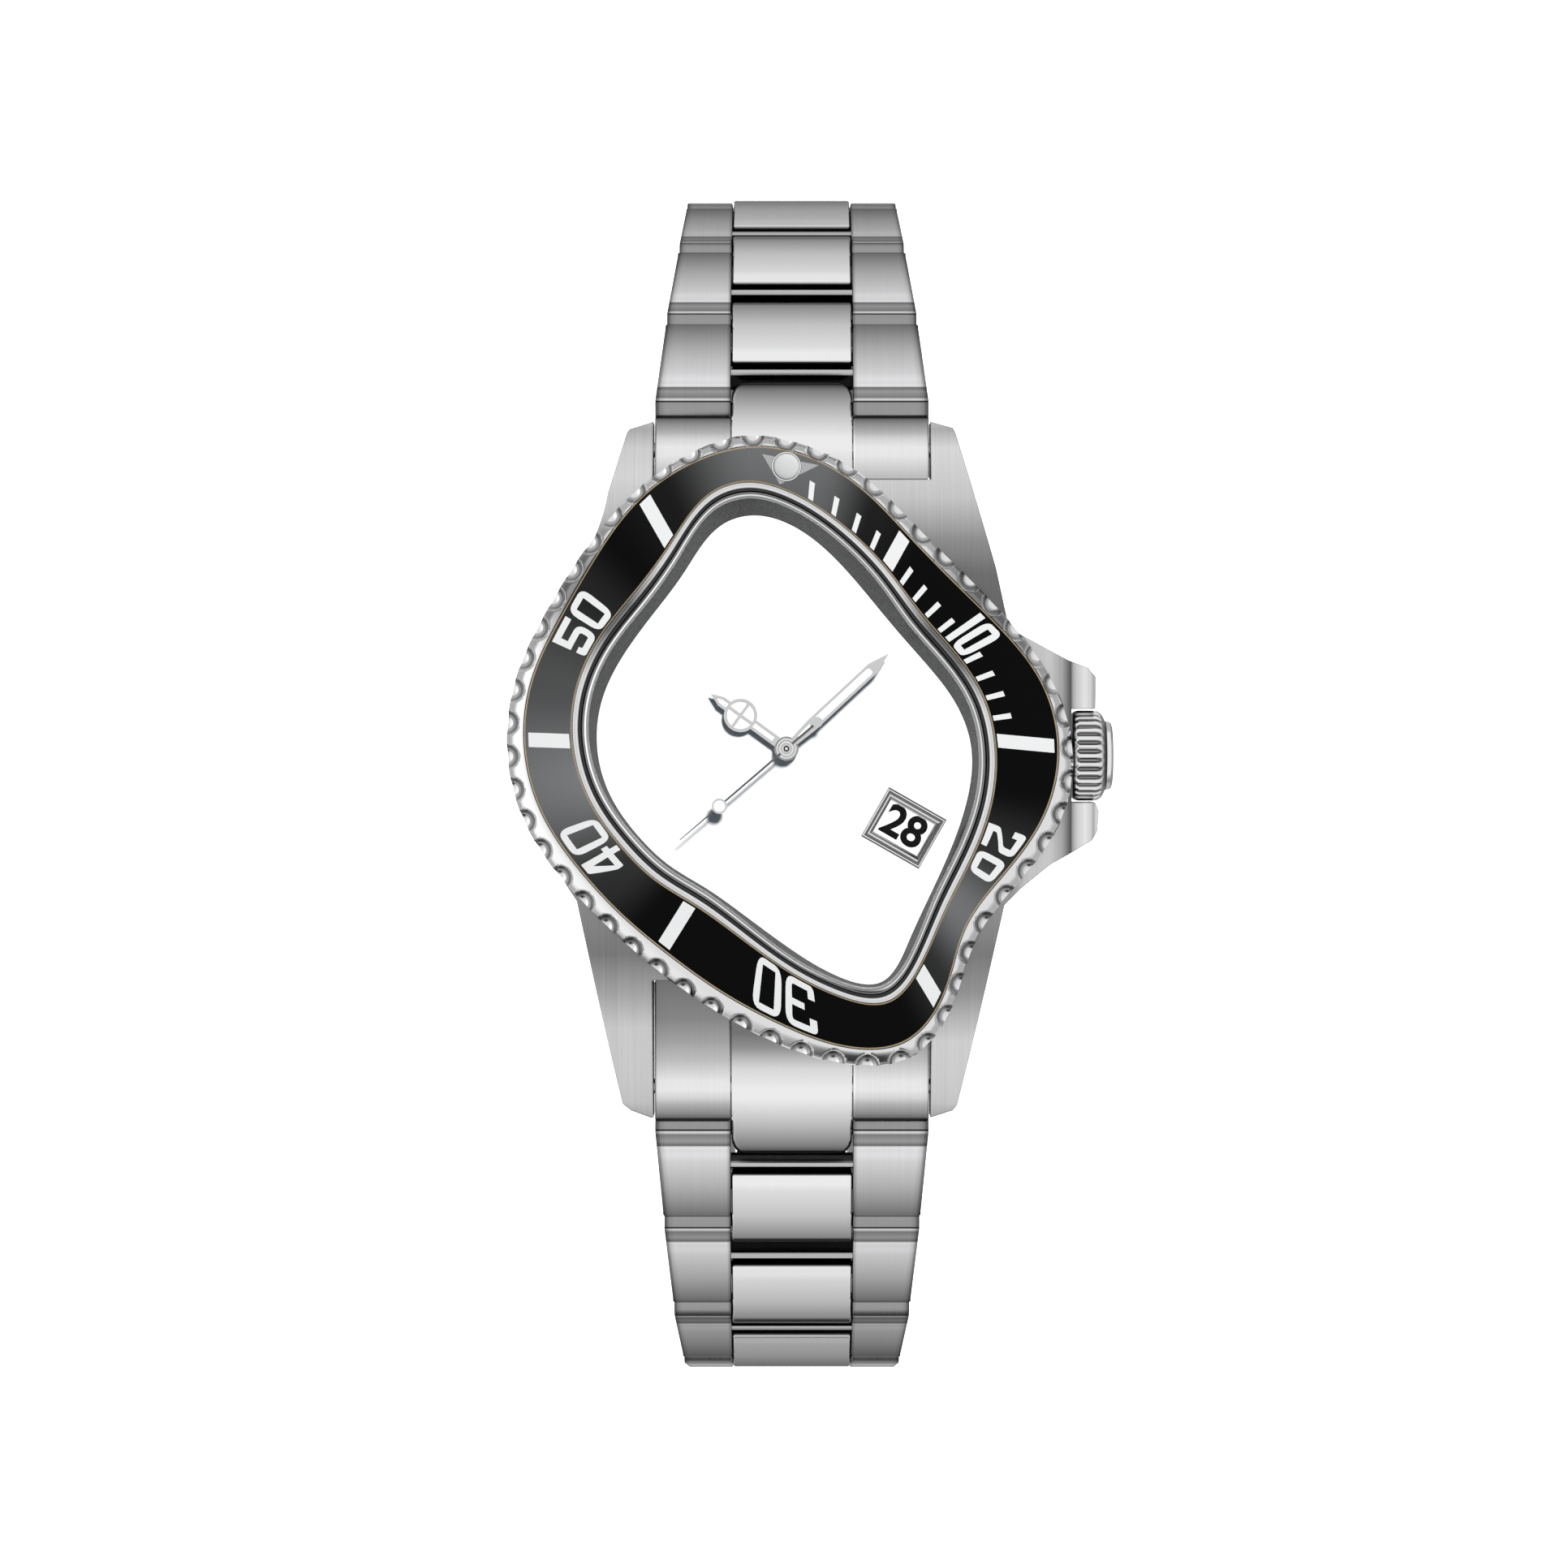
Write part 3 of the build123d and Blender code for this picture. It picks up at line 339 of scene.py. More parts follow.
def relief(tree, shader, height, depth, strength=1.0, edge=0.0):
    """Bump of this depth in millimetres; edge rounds the look of sharp edges by that radius."""
    bump = tree.nodes.new("ShaderNodeBump")
    bump.inputs["Distance"].default_value = depth * MM
    bump.inputs["Strength"].default_value = strength
    tree.links.new(height, bump.inputs["Height"])
    if edge:
        bevel = tree.nodes.new("ShaderNodeBevel")
        bevel.samples = 4
        bevel.inputs["Radius"].default_value = edge * MM
        tree.links.new(bevel.outputs["Normal"], bump.inputs["Normal"])
    tree.links.new(bump.outputs["Normal"], shader.inputs["Normal"])


def grey(level):
    return (level, level, level * 1.005)


def linear(level):
    """The linear value of a display level."""
    return level / 12.92 if level <= 0.04045 else ((level + 0.055) / 1.055) ** 2.4


def toned(tree, value, stops):
    """A grey colour that follows a value in millimetres, from (value, display level) stops; each level is
    divided by the studio's brightness, so the painted light and shade show at that display level.
    """
    start, end = stops[0][0], stops[-1][0]
    greys = [((at - start) / (end - start), grey(min(linear(level) / SKY_LEVEL, 0.97))) for at,
             level in stops]
    return ramp_colour(tree, spread(tree, value, 0, 1, start, end), greys)


def blend(tree, first, second, factor, mode="MIX"):
    node = tree.nodes.new("ShaderNodeMix")
    node.data_type, node.blend_type = "RGBA", mode
    if isinstance(factor, float):
        node.inputs["Factor"].default_value = factor
    else:
        tree.links.new(factor, node.inputs["Factor"])
    tree.links.new(first, node.inputs["A"])
    tree.links.new(second, node.inputs["B"])
    return node.outputs["Result"]


BRUSHED = {"y": (9.0, 0.05, 0.05), "x": (0.05, 9.0, 9.0), "z": (9.0, 9.0, 0.05)}  # lines for each millimetre


def painted_steel(name, shade, roughness, along="y", edge=0.0, grain=1.0):
    """Steel whose colour, worked out by shade(tree), carries painted light and shade, with fine brushed lines
    over it.
    """
    material, tree, shader = new_material(name, grey(0.6), 1.0, roughness)
    lines = noise(tree, BRUSHED[along], detail=4, rough=0.65)
    streaks = tint(tree, lines, grey(1 - 0.14 * grain), grey(1.0))
    tree.links.new(blend(tree, shade(tree), streaks, 1.0, "MULTIPLY"), shader.inputs["Base Color"])
    tree.links.new(spread(tree, lines, roughness - 0.04, roughness + 0.04), shader.inputs["Roughness"])
    relief(tree, shader, lines, 0.0015 * grain, edge=edge)
    return material


def axes(tree, space="Object"):
    """The X, Y and Z outputs of a texture coordinate."""
    place_at = tree.nodes.new("ShaderNodeTexCoord")
    parts = tree.nodes.new("ShaderNodeSeparateXYZ")
    tree.links.new(place_at.outputs[space], parts.inputs["Vector"])
    return parts.outputs


def coordinate(tree, axis):
    """The place along one axis of the shared frame, in millimetres."""
    return scaled(tree, axes(tree)[axis])


def stored(tree, name):
    """A value stored at the points of the mesh."""
    node = tree.nodes.new("ShaderNodeAttribute")
    node.attribute_name = name
    return node.outputs["Fac"]


def scaled(tree, value, factor=1 / MM):
    node = tree.nodes.new("ShaderNodeMath")
    node.operation = "MULTIPLY"
    node.inputs[1].default_value = factor
    tree.links.new(value, node.inputs[0])
    return node.outputs["Value"]


def store(piece, name, values):
    attribute = piece.data.attributes.new(name, "FLOAT", "POINT")
    attribute.data.foreach_set("value", [float(v) for v in values])


def points_of(piece):
    """The points of a piece, in millimetres."""
    return np.array([v.co[:] for v in piece.data.vertices]) / MM


def brushed_steel(name, dark, light, roughness, along="y", edge=0.0, grain=1.0):
    """Steel brushed along one axis, with finer and coarser lines."""
    material, tree, shader = new_material(name, grey((dark + light) / 2), 1.0, roughness)
    lines = noise(tree, BRUSHED[along], detail=4, rough=0.65)
    tree.links.new(tint(tree, lines, grey(dark), grey(light)), shader.inputs["Base Color"])
    tree.links.new(spread(tree, lines, roughness - 0.07, roughness + 0.07), shader.inputs["Roughness"])
    relief(tree, shader, lines, 0.004 * grain, edge=edge)
    return material


def polished_steel(name, level, roughness=0.09, edge=0.0):
    material, tree, shader = new_material(name, grey(level), 1.0, roughness)
    smudge = noise(tree, (0.35, 0.35, 0.35), detail=3)
    tree.links.new(spread(tree, smudge, roughness * 0.7, roughness * 1.4), shader.inputs["Roughness"])
    ripple = noise(tree, (1.2, 1.2, 1.2), detail=2)
    relief(tree, shader, ripple, 0.002, edge=edge)
    return material


def follows(reading, stops):
    """A tone that follows one coordinate, X, Y or Z, or one value stored at the points."""
    def shade(tree):
        return toned(tree, coordinate(tree, reading) if reading in "XYZ" else stored(tree, reading), stops)
    return shade


def case_tone(tree):
    """Painted light and shade: the lugs lighten towards their ends, and the crown guards lighten from a
    painted dark facet line outwards.
    """
    lugs = toned(tree, coordinate(tree, "Y"), [
        (-26.7, 0.74), (-25.5, 0.82), (-20, 0.81), (-17.5, 0.66), (-14.7, 0.49), (-10, 0.58), (9, 0.60),
        (14.6, 0.56),
        (17, 0.78), (19.5, 0.86), (21.6, 0.83), (23.0, 0.69), (23.7, 0.80),
    ])
    guards = toned(tree, coordinate(tree, "X"), [
        (17.2, 0.80), (18.8, 0.82), (19.7, 0.68), (20.2, 0.42), (20.37, 0.38), (20.43, 0.60), (20.75, 0.82),
        (21.4, 0.94),
        (21.8, 0.85), (22.02, 0.68), (22.2, 0.88),
    ])
    right = toned(tree, coordinate(tree, "Y"), [
        (-26.7, 0.74), (-25.5, 0.84), (-21, 0.84), (-17.5, 0.60), (-14.7, 0.50), (-9, 0.66), (0, 0.66),
        (5, 0.50),
        (9, 0.42), (12.5, 0.45), (15, 0.58), (18, 0.80), (21.6, 0.88), (23.0, 0.70), (23.7, 0.80),
    ])
    lugs = blend(tree, lugs, right, spread(tree, coordinate(tree, "X"), 0, 1, 5, 8))
    return blend(tree, lugs, guards, spread(tree, coordinate(tree, "X"), 0, 1, 16.2, 17.2))


# Painted light and shade at a link's knuckle, by millimetres along the row: a painted dark line of shade at
# the seam and thin painted highlights round it.
KNUCKLE_PAINTED_LIGHT = [
    (-1.5, 0.62), (-0.26, 0.60), (-0.20, 0.10), (-0.13, 0.12), (-0.06, 0.90), (0.06, 0.76), (0.16, 0.50),
    (0.65, 0.62),
    (0.98, 0.42), (1.05, 0.84), (1.16, 0.95), (1.30, 0.88),
]


def link_tone(tree):
    """Painted light and shade: dark and light lines at the knuckle, then a slow fall to dark, with painted
    shade at the outer and inner edges.
    """
    body = [(1.7, 0.90), (2.2, 0.84), (4.0, 0.71), (5.6, 0.53), (6.4, 0.40)]
    tone = toned(tree, stored(tree, "along"), KNUCKLE_PAINTED_LIGHT + body)
    border = toned(tree, stored(tree, "share"), [
        (0.0, 0.55), (0.03, 0.80), (0.06, 0.93), (0.86, 0.93), (0.93, 0.84), (0.965, 0.60), (1.0, 0.50),
    ])
    return blend(tree, tone, border, 1.0, "MULTIPLY")


# The thin bar is light on top only: the gap round it is in shade.
bar_tone = follows("height", [
    (-1.2, 0.06), (0.86, 0.10), (0.98, 0.60), (1.1, 0.74),
])


# Painted light and shade along each centre link: painted shade at both ends, by the gaps, and a fall from
# light to dark between.
centre_painted_shading = follows("along", [
    (3.12, 0.20), (3.2, 0.70), (3.3, 0.96), (3.9, 0.96), (4.4, 0.87), (6.2, 0.77), (7.9, 0.52),
    (8.15, 0.30), (8.3, 0.12),
])


# Painted light and shade along the end link's sides: darker towards the case, lightest about 3 mm from the
# first pin, and a painted dark line of shade at the seam by the pin.
end_side_painted_shading = follows("along", [
    (-10.8, 0.46), (-8, 0.54), (-6.5, 0.64), (-5, 0.76), (-3.5, 0.92), (-2.9, 0.93), (-2.3, 0.85),
    (-1.8, 0.70), (-1.2, 0.56), (-0.86, 0.42), (-0.76, 0.12),
])


# Painted light and shade along the end link's centre: darker towards the case, lightest about 3 mm before the
# pin, and falling to painted shade at its nose.
end_centre_painted_shading = follows("along", [
    (-7, 0.45), (-5.9, 0.57), (-4.4, 0.85), (-3.0, 0.99), (-2.2, 0.96), (0.0, 0.70), (1.2, 0.50),
    (1.55, 0.34), (1.7, 0.10),
])


# The band carries painted light and shade with it: dark crescents of painted shade in the scoops, and painted
# light lips round them.
bezel_painted_shading = follows("tone", [
    (0.0, 0.04), (1.0, 1.0),
])


def scoop_tones(spots, bowls, bowl_r):
    """A display level for each point of the band, painted light and shade: shade on each scoop's side towards
    the middle and 12 o'clock, a painted dark crescent, a painted light lip round it, and painted darker
    patches on the plain band near 57 and 308 degrees.
    """
    apart = spots[:, None, :2] - bowls[None, :, :]
    far = np.linalg.norm(apart, axis=2)
    nearest = far.argmin(1)
    gap = far.min(1) / bowl_r
    towards = apart[np.arange(len(spots)), nearest] / np.maximum(far.min(1), 1e-6)[:, None]
    inward = -bowls[nearest] / np.linalg.norm(bowls[nearest], axis=1)[:, None]
    shaded = inward * 0.75 + np.array([0.0, 0.66])
    shade = np.clip(0.5 + 0.6 * (towards * shaded).sum(1), 0, 1)
    inside = 0.94 - 0.30 * shade * np.clip(gap / 0.6, 0, 1)
    # painted shade: a dark crescent just inside each scoop's edge
    shade_crescent = np.clip(1 - np.abs(gap - 0.86) / 0.17, 0, 1) ** 0.7
    tone = inside - (0.34 + 0.95 * shade) * shade_crescent
    # painted highlight: the light lip round each scoop
    lip = np.clip(1 - np.abs(gap - 1.08) / 0.08, 0, 1)
    clock_at = clock_angle(spots)
    # painted darker patches, reflections, on the plain band near 308 and 57 degrees
    painted_dimming = np.clip(1.3 - np.abs((clock_at - 308 + 180) % 360 - 180) / 14, 0, 1)
    painted_dimming = np.maximum(painted_dimming, np.clip(1.4 - np.abs((clock_at - 57 + 180) % 360 - 180) / 16, 0, 1))
    plain = 0.86 - 0.62 * painted_dimming
    outside = plain + (0.98 - plain) * lip
    return np.where(gap < 1.0, np.clip(tone, 0.08, 1), outside)


def crown_tone(tree):
    """Painted shade dark in the flutes and painted highlights on their ridges; the cap has painted bands, a
    light rim and painted shade in its groove.
    """
    flutes = toned(tree, stored(tree, "flute"),
                   [(0.0, 0.97), (0.30, 0.90), (0.46, 0.62), (0.60, 0.20), (0.78, 0.44), (1.0, 0.60)])
    bands = toned(tree, coordinate(tree, "X"), [
        (20.55, 0.20), (20.66, 0.62), (20.78, 0.95), (20.95, 1.0), (22.2, 1.0), (22.5, 0.86), (22.66, 0.62),
        (22.8, 0.20),
        (22.95, 0.16), (23.0, 0.90), (23.2, 0.96), (23.3, 0.70), (23.42, 0.36), (23.5, 0.55),
    ])
    return blend(tree, flutes, bands, 1.0, "MULTIPLY")


# Painted light and dark rings, highlights and shade, round the hands' axis.
hub_painted_shading = follows("radius", [
    (0.0, 0.96), (0.09, 0.90), (0.12, 0.12), (0.20, 0.20), (0.24, 0.92), (0.36, 0.72), (0.46, 0.96),
    (0.54, 0.80), (0.575, 0.28), (0.61, 0.86), (0.70, 0.94), (0.755, 0.36), (0.79, 0.70), (0.87, 0.40),
])


# A painted light ring, a highlight, with painted shade at the edge on each side.
setting_painted_shading = follows("radius", [
    (0.90, 0.20), (0.94, 0.50), (0.98, 0.98), (1.03, 0.80), (1.07, 0.22),
])


# Painted light and shade on the steps of the date frame, from its outer edge inwards.
frame_painted_shading = follows("share", [
    (0.0, 0.42), (0.10, 0.70), (0.17, 0.94), (0.27, 0.88), (0.33, 0.40), (0.46, 0.52), (0.52, 0.92),
    (0.68, 0.80), (0.78, 0.52), (0.90, 0.96), (1.0, 0.62),
])


# Fine light and dark lines, painted reflections, that follow the crystal's sloping edge.
crystal_rim_painted_shading = follows("Z", [
    (9.60, 0.12), (9.68, 0.30), (9.72, 0.84), (9.80, 0.88), (9.83, 0.42), (9.87, 0.60), (9.96, 0.70),
    (9.99, 0.36), (10.03, 0.52), (10.06, 0.86), (10.12, 0.90), (10.15, 0.46), (10.18, 0.66),
])


SKY_LEVEL = 0.87  # how bright the studio is over most of its upper half
CASE_STEEL = painted_steel("case_brushed_steel", case_tone, 0.32, "y", edge=0.22)
BAND_STEEL = painted_steel("bezel_band_steel", bezel_painted_shading, 0.10, "z", grain=0.1)
LINK_STEEL = painted_steel("bracelet_brushed_steel", link_tone, 0.30, "y", grain=0.5)
CENTRE_STEEL = painted_steel("bracelet_satin_steel", centre_painted_shading, 0.22, "y", grain=0.2)
END_STEEL = painted_steel("end_link_brushed_steel", end_side_painted_shading, 0.30, "y", grain=0.5)
END_CENTRE = painted_steel("end_link_satin_steel", end_centre_painted_shading, 0.20, "y", grain=0.15)
CLASP_STEEL = brushed_steel("clasp_brushed_steel", 0.50, 0.66, 0.30, "y", edge=0.15)
HAND_STEEL = polished_steel("hand_steel", 0.72, 0.12)
SETTING_STEEL = painted_steel("pearl_setting_steel", setting_painted_shading, 0.12, "z", grain=0.1)
HUB_STEEL = painted_steel("hand_hub_steel", hub_painted_shading, 0.12, "z", grain=0.1)
NEEDLE_STEEL = polished_steel("seconds_hand_steel", 0.16, 0.12)
FRAME_STEEL = painted_steel("date_frame_steel", frame_painted_shading, 0.12, "z", grain=0.1)
BAR_STEEL = painted_steel("bracelet_bar_steel", bar_tone, 0.25, "x", grain=0.2)
CROWN_STEEL = painted_steel("crown_steel", crown_tone, 0.16, "x", grain=0.2)
PLATE_STEEL = brushed_steel("movement_plate_steel", 0.42, 0.55, 0.36, "x", edge=0.05)
WHEEL_STEEL = polished_steel("movement_wheel_steel", 0.62, 0.2)


def insert_black():
    """Glossy black with broad grey patches, painted reflections, that fade along the ring."""
    material, tree, shader = new_material("insert_black", (0.006, 0.006, 0.007), 0.0, 0.16)
    shader.inputs["Specular IOR Level"].default_value = 0.05
    parts = axes(tree)
    turn = tree.nodes.new("ShaderNodeMath")
    turn.operation = "ARCTAN2"
    tree.links.new(parts["X"], turn.inputs[0])
    tree.links.new(parts["Y"], turn.inputs[1])
    share = spread(tree, turn.outputs["Value"], 0, 1, -math.pi, math.pi)
    # painted reflections: grey patches centred near these angles, in degrees
    stops = [(-180, 0.001), (-141, 0.001), (-127, 0.02), (-98, 0.14), (-75, 0.06), (-52, 0.012), (-40, 0.001),
             (-25, 0.006), (-6, 0.11), (6, 0.10), (20, 0.008), (35, 0.001), (100, 0.001), (116, 0.02),
             (133, 0.13), (146, 0.02), (156, 0.001), (180, 0.001)]
    greys = [((angle + 180) / 360, grey(level)) for angle, level in stops]
    tree.links.new(ramp_colour(tree, share, greys, "EASE"), shader.inputs["Base Color"])
    grain = noise(tree, (6, 6, 6), detail=2)
    tree.links.new(spread(tree, grain, 0.13, 0.2), shader.inputs["Roughness"])
    relief(tree, shader, grain, 0.001)
    return material


def enamel(name, colour, roughness=0.4, grain=0.002):
    material, tree, shader = new_material(name, colour, 0.0, roughness)
    speck = noise(tree, (8, 8, 8), detail=2)
    dark = tuple(c * 0.97 for c in colour)
    tree.links.new(tint(tree, speck, dark, colour), shader.inputs["Base Color"])
    tree.links.new(spread(tree, speck, roughness - 0.05, roughness + 0.05), shader.inputs["Roughness"])
    relief(tree, shader, speck, grain)
    return material


def plain_metal(name, colour, roughness, cells, rough_range):
    material, tree, shader = new_material(name, colour, 1.0, roughness)
    tree.links.new(spread(tree, noise(tree, (cells,) * 3), *rough_range), shader.inputs["Roughness"])
    return material


def clear_crystal():
    material, tree, shader = new_material("crystal_glass", (0.02, 0.02, 0.02), 0.0, 0.03)
    shader.inputs["IOR"].default_value = 1.76
    facing = tree.nodes.new("ShaderNodeLayerWeight")
    tree.links.new(spread(tree, facing.outputs["Facing"], 0.015, 0.35, 0.35, 1.0), shader.inputs["Alpha"])
    haze = noise(tree, (0.1, 0.1, 0.1), detail=1)
    tree.links.new(spread(tree, haze, 0.02, 0.05), shader.inputs["Roughness"])
    return material


INSERT_BLACK = insert_black()
MARK_WHITE = enamel("insert_marking_white", (0.66, 0.66, 0.655), 0.45)
TRIANGLE_GREY = enamel("insert_triangle_grey", (0.30, 0.30, 0.30), 0.4)
DIAL_WHITE = enamel("dial_white", (0.93, 0.93, 0.93), 0.5)
DATE_WHITE = enamel("date_white", (0.9, 0.9, 0.9), 0.5)
DATE_BLACK = enamel("date_black", (0.004, 0.004, 0.004), 0.5)
DATE_BLACK.node_tree.nodes["Principled BSDF"].inputs["Specular IOR Level"].default_value = 0.05
LUME = enamel("lume_white", (0.86, 0.88, 0.87), 0.6, 0.004)
PEARL_LUME = enamel("pearl_lume", (0.50, 0.51, 0.50), 0.25)
RUBBER = enamel("gasket_rubber", (0.015, 0.015, 0.015), 0.6, 0.004)
HOLDER = enamel("holder_plastic", (0.7, 0.7, 0.68), 0.5)
REHAUT = brushed_steel("rehaut_grey_steel", 0.055, 0.11, 0.34, "z", grain=0.6)
CRYSTAL = clear_crystal()
CRYSTAL_RIM = painted_steel("crystal_polished_rim", crystal_rim_painted_shading, 0.12, "z", grain=0.2)
BRASS = plain_metal("movement_brass", (0.78, 0.56, 0.25), 0.28, 4, (0.22, 0.36))
GILT = plain_metal("insert_edge_gilt", (0.42, 0.33, 0.19), 0.22, 3, (0.18, 0.3))


# ==== bezel, insert, crystal and dial =============================================================
def bezel_band():
    """The bezel: a lip on each side of the insert, and a sloping polished band with bowl-like scoops."""
    per_scoop, inner_rows = 26, []
    columns = SCOOPS * per_scoop
    rim = closed_spline([clock(row[0], row[EDGE]) for row in WARP], columns)
    bowls = closed_spline([clock(row[0], row[EDGE] + 0.04) for row in WARP], SCOOPS)
    angles = clock_angle(rim)
    inner, outer = ring_radius(INNER, angles), ring_radius(OUTER, angles)
    edge = np.linalg.norm(rim, axis=1)
    for start, grow, z in (
        (inner, -0.45, 6.94), (inner, -0.45, 9.72), (inner, -0.42, 9.80), (inner, -0.36, 9.84),
        (inner, -0.26, 9.85),
        (inner, -0.23, 9.78), (inner, -0.19, 9.78), (inner, -0.16, 9.85), (inner, -0.07, 9.84),
        (inner, -0.02, 9.78),
        (inner, -0.01, 9.60), (inner, -0.01, 9.30), (outer, 0.01, 9.30), (outer, 0.01, 9.70),
        (outer, 0.03, 9.79),
    ):
        inner_rows.append((start + grow, np.full(columns, z)))
    lip, slope_end, wall_foot = 0.07, 8.75, 6.94
    bowl_r, bowl_floor, soft = 0.86, 7.45, 0.09
    steps = np.concatenate([[0.0, 0.04, 0.1, 0.2, 0.3], np.linspace(0.36, 0.985, 22), [1.0]])
    outer_rows = []
    for t in steps:
        r = outer + lip + t * (edge - outer - lip)
        x, y = clock(angles, r)
        plane = 9.83 - (9.83 - slope_end) * (0.25 * t + 0.75 * t**1.6)
        # the outer edge between two scoops is rounded
        to_edge = edge - r
        plane = plane - 0.35 * np.clip(1 - to_edge / 0.28, 0, 1) ** 2
        gap = np.hypot(x[:, None] - bowls[None, :, 0], y[:, None] - bowls[None, :, 1]).min(1)
        bowl = slope_end + 0.2 - (slope_end + 0.2 - bowl_floor) * np.sqrt(np.clip(1 - (gap / bowl_r) ** 2,
                                                                                  0, 1))
        bowl = np.where(gap > bowl_r, slope_end + 0.2 + (gap - bowl_r) * 6, bowl)
        mix = np.clip(0.5 + 0.5 * (bowl - plane) / soft, 0, 1)
        z = bowl * (1 - mix) + plane * mix - soft * mix * (1 - mix)
        outer_rows.append((r, z))
    outer_rows.append((edge, np.full(columns, wall_foot)))
    verts = []
    for r, z in inner_rows + outer_rows:
        x, y = clock(angles, r)
        verts += list(zip(x, y, z))
    faces = ring_faces(len(inner_rows) + len(outer_rows), columns)
    band = add_mesh("bezel_band", verts, faces, BAND_STEEL, "case", ("bezel_ring",), 40)
    # painted light and shade of the scoops, stored at the band's points
    store(band, "tone", scoop_tones(points_of(band), bowls, bowl_r))


bezel_band()

warped_ring(
    "insert_ring",
    [(INNER, 0.03, 9.32), (INNER, 0.03, 9.70), (INNER, 0.10, 9.77), (INNER, 0.16, 9.785),
     (OUTER, -0.16, 9.76),
     (OUTER, -0.10, 9.74), (OUTER, -0.03, 9.66), (OUTER, -0.03, 9.32)],
    INSERT_BLACK, "case", ("bezel_insert",), smooth_below=60,
)
for side, column, grows in (("inner", INNER, (0.03, 0.10)), ("outer", OUTER, (-0.10, -0.03))):
    low, high = (9.70, 9.79) if side == "inner" else (9.66, 9.775)
    warped_ring(
        f"insert_{side}_line",
        [(column, grows[0], low), (column, grows[0], high), (column, grows[1], high),
         (column, grows[1], low)],
        GILT, "case",
    )

MARK_Z, MARK_T = 9.815, 0.05
GAP_IN, GAP_OUT = 0.22, 0.30


def ring_point(angle, share):
    """A point of the insert's printed band: share 0 is its inner edge and 1 its outer edge."""
    r0, r1 = ring_radius(INNER, angle) + GAP_IN, ring_radius(OUTER, angle) - GAP_OUT
    return clock(angle, r0 + share * (r1 - r0))


def glyph(digit, tx, ty):
    """Loops of a block digit in a unit cell, with strokes this wide across and along the digit."""
    soft, none = 0.3, 0
    hole = None
    if digit == "0":
        outline = ([(0, 0), (1, 0), (1, 1), (0, 1)], [soft] * 4)
        hole = [(tx, ty), (tx, 1 - ty), (1 - tx, 1 - ty), (1 - tx, ty)]
    elif digit == "1":
        outline = ([(0, 0), (1, 0), (1, 1), (0, 1)], [none] * 4)
    elif digit == "2":
        outline = (
            [(0, 0.68), (tx, 0.68), (tx, 1 - ty), (1 - tx, 1 - ty), (1 - tx, 0.6), (0, 0.3), (0, 0), (1, 0),
             (1, ty),
             (tx, ty), (tx, 0.27), (1, 0.57), (1, 1), (0, 1)],
            [none, none, none, none, 0.1, 0.1, none, none, none, none, 0.08, 0.1, soft, soft],
        )
    elif digit == "3":
        up, down = 0.5 + ty / 2, 0.5 - ty / 2
        outline = (
            [(0, 0.7), (tx, 0.7), (tx, 1 - ty), (1 - tx, 1 - ty), (1 - tx, up), (0.36, up), (0.36, down),
             (1 - tx, down), (1 - tx, ty), (tx, ty), (tx, 0.3), (0, 0.3), (0, 0), (1, 0), (1, 1), (0, 1)],
            [none, none, none, 0.08, none, none, none, none, 0.08, none, none, none, soft, soft, soft, soft],
        )
    elif digit == "4":
        bar, foot = 0.6, 0.2
        outline = (
            [(bar, 0), (bar + tx, 0), (bar + tx, foot), (1, foot), (1, foot + ty), (bar + tx, foot + ty),
             (bar + tx, 1), (bar - 0.15, 1), (0, foot + ty), (0, foot), (bar, foot)],
            [none] * 7 + [0.05, 0.05, 0.05, none],
        )
        hole = [(bar, foot + ty), (tx * 0.8, foot + ty), (bar, 0.78)]
    else:
        outline = (
            [(1, 1), (1, 1 - ty), (tx, 1 - ty), (tx, 0.62), (1, 0.62), (1, 0), (0, 0), (0, 0.28), (tx, 0.28),
             (tx, ty), (1 - tx, ty), (1 - tx, 0.62 - ty), (0, 0.62 - ty), (0, 1)],
            [none, none, none, none, soft, soft, soft, none, none, 0.08, 0.08, 0.08, none, none],
        )
    loops = [rounded(*outline)]
    if hole:
        loops.append(hole)
    return loops


def along(loop, parts=6):
    """The loop with points added on its long sides, so that it bends with the ring."""
    out = []
    for i, (x0, y0) in enumerate(loop):
        x1, y1 = loop[(i + 1) % len(loop)]
        count = parts if math.hypot(x1 - x0, y1 - y0) > 0.25 else 1
        out += [(x0 + (x1 - x0) * s / count, y0 + (y1 - y0) * s / count) for s in range(count)]
    return out


STROKE = 0.47
DIGITS = [
    ("1", 54.9, 56.7), ("0", 57.6, 62.6),
    ("2", 110.0, 116.0), ("0", 117.4, 123.6),
    ("3", 173.6, 180.2), ("0", 181.2, 187.8),
    ("4", 234.4, 241.6), ("0", 242.6, 250.2),
    ("5", 294.6, 301.0), ("0", 302.0, 308.2),
]
for n, (digit, start, end) in enumerate(DIGITS):
    middle = (start + end) / 2
    across = math.radians(end - start) * (ring_radius(INNER, middle) + ring_radius(OUTER, middle)) / 2
    tall = ring_radius(OUTER, middle) - ring_radius(INNER, middle) - GAP_IN - GAP_OUT
    loops = [
        [ring_point(start + (end - start) * x, y) for x, y in along(loop)]
        for loop in glyph(digit, STROKE / across, STROKE / tall)
    ]
    outline_mesh(f"insert_digit_{n + 1:02d}", loops, MARK_T, MARK_Z, MARK_WHITE, "case")


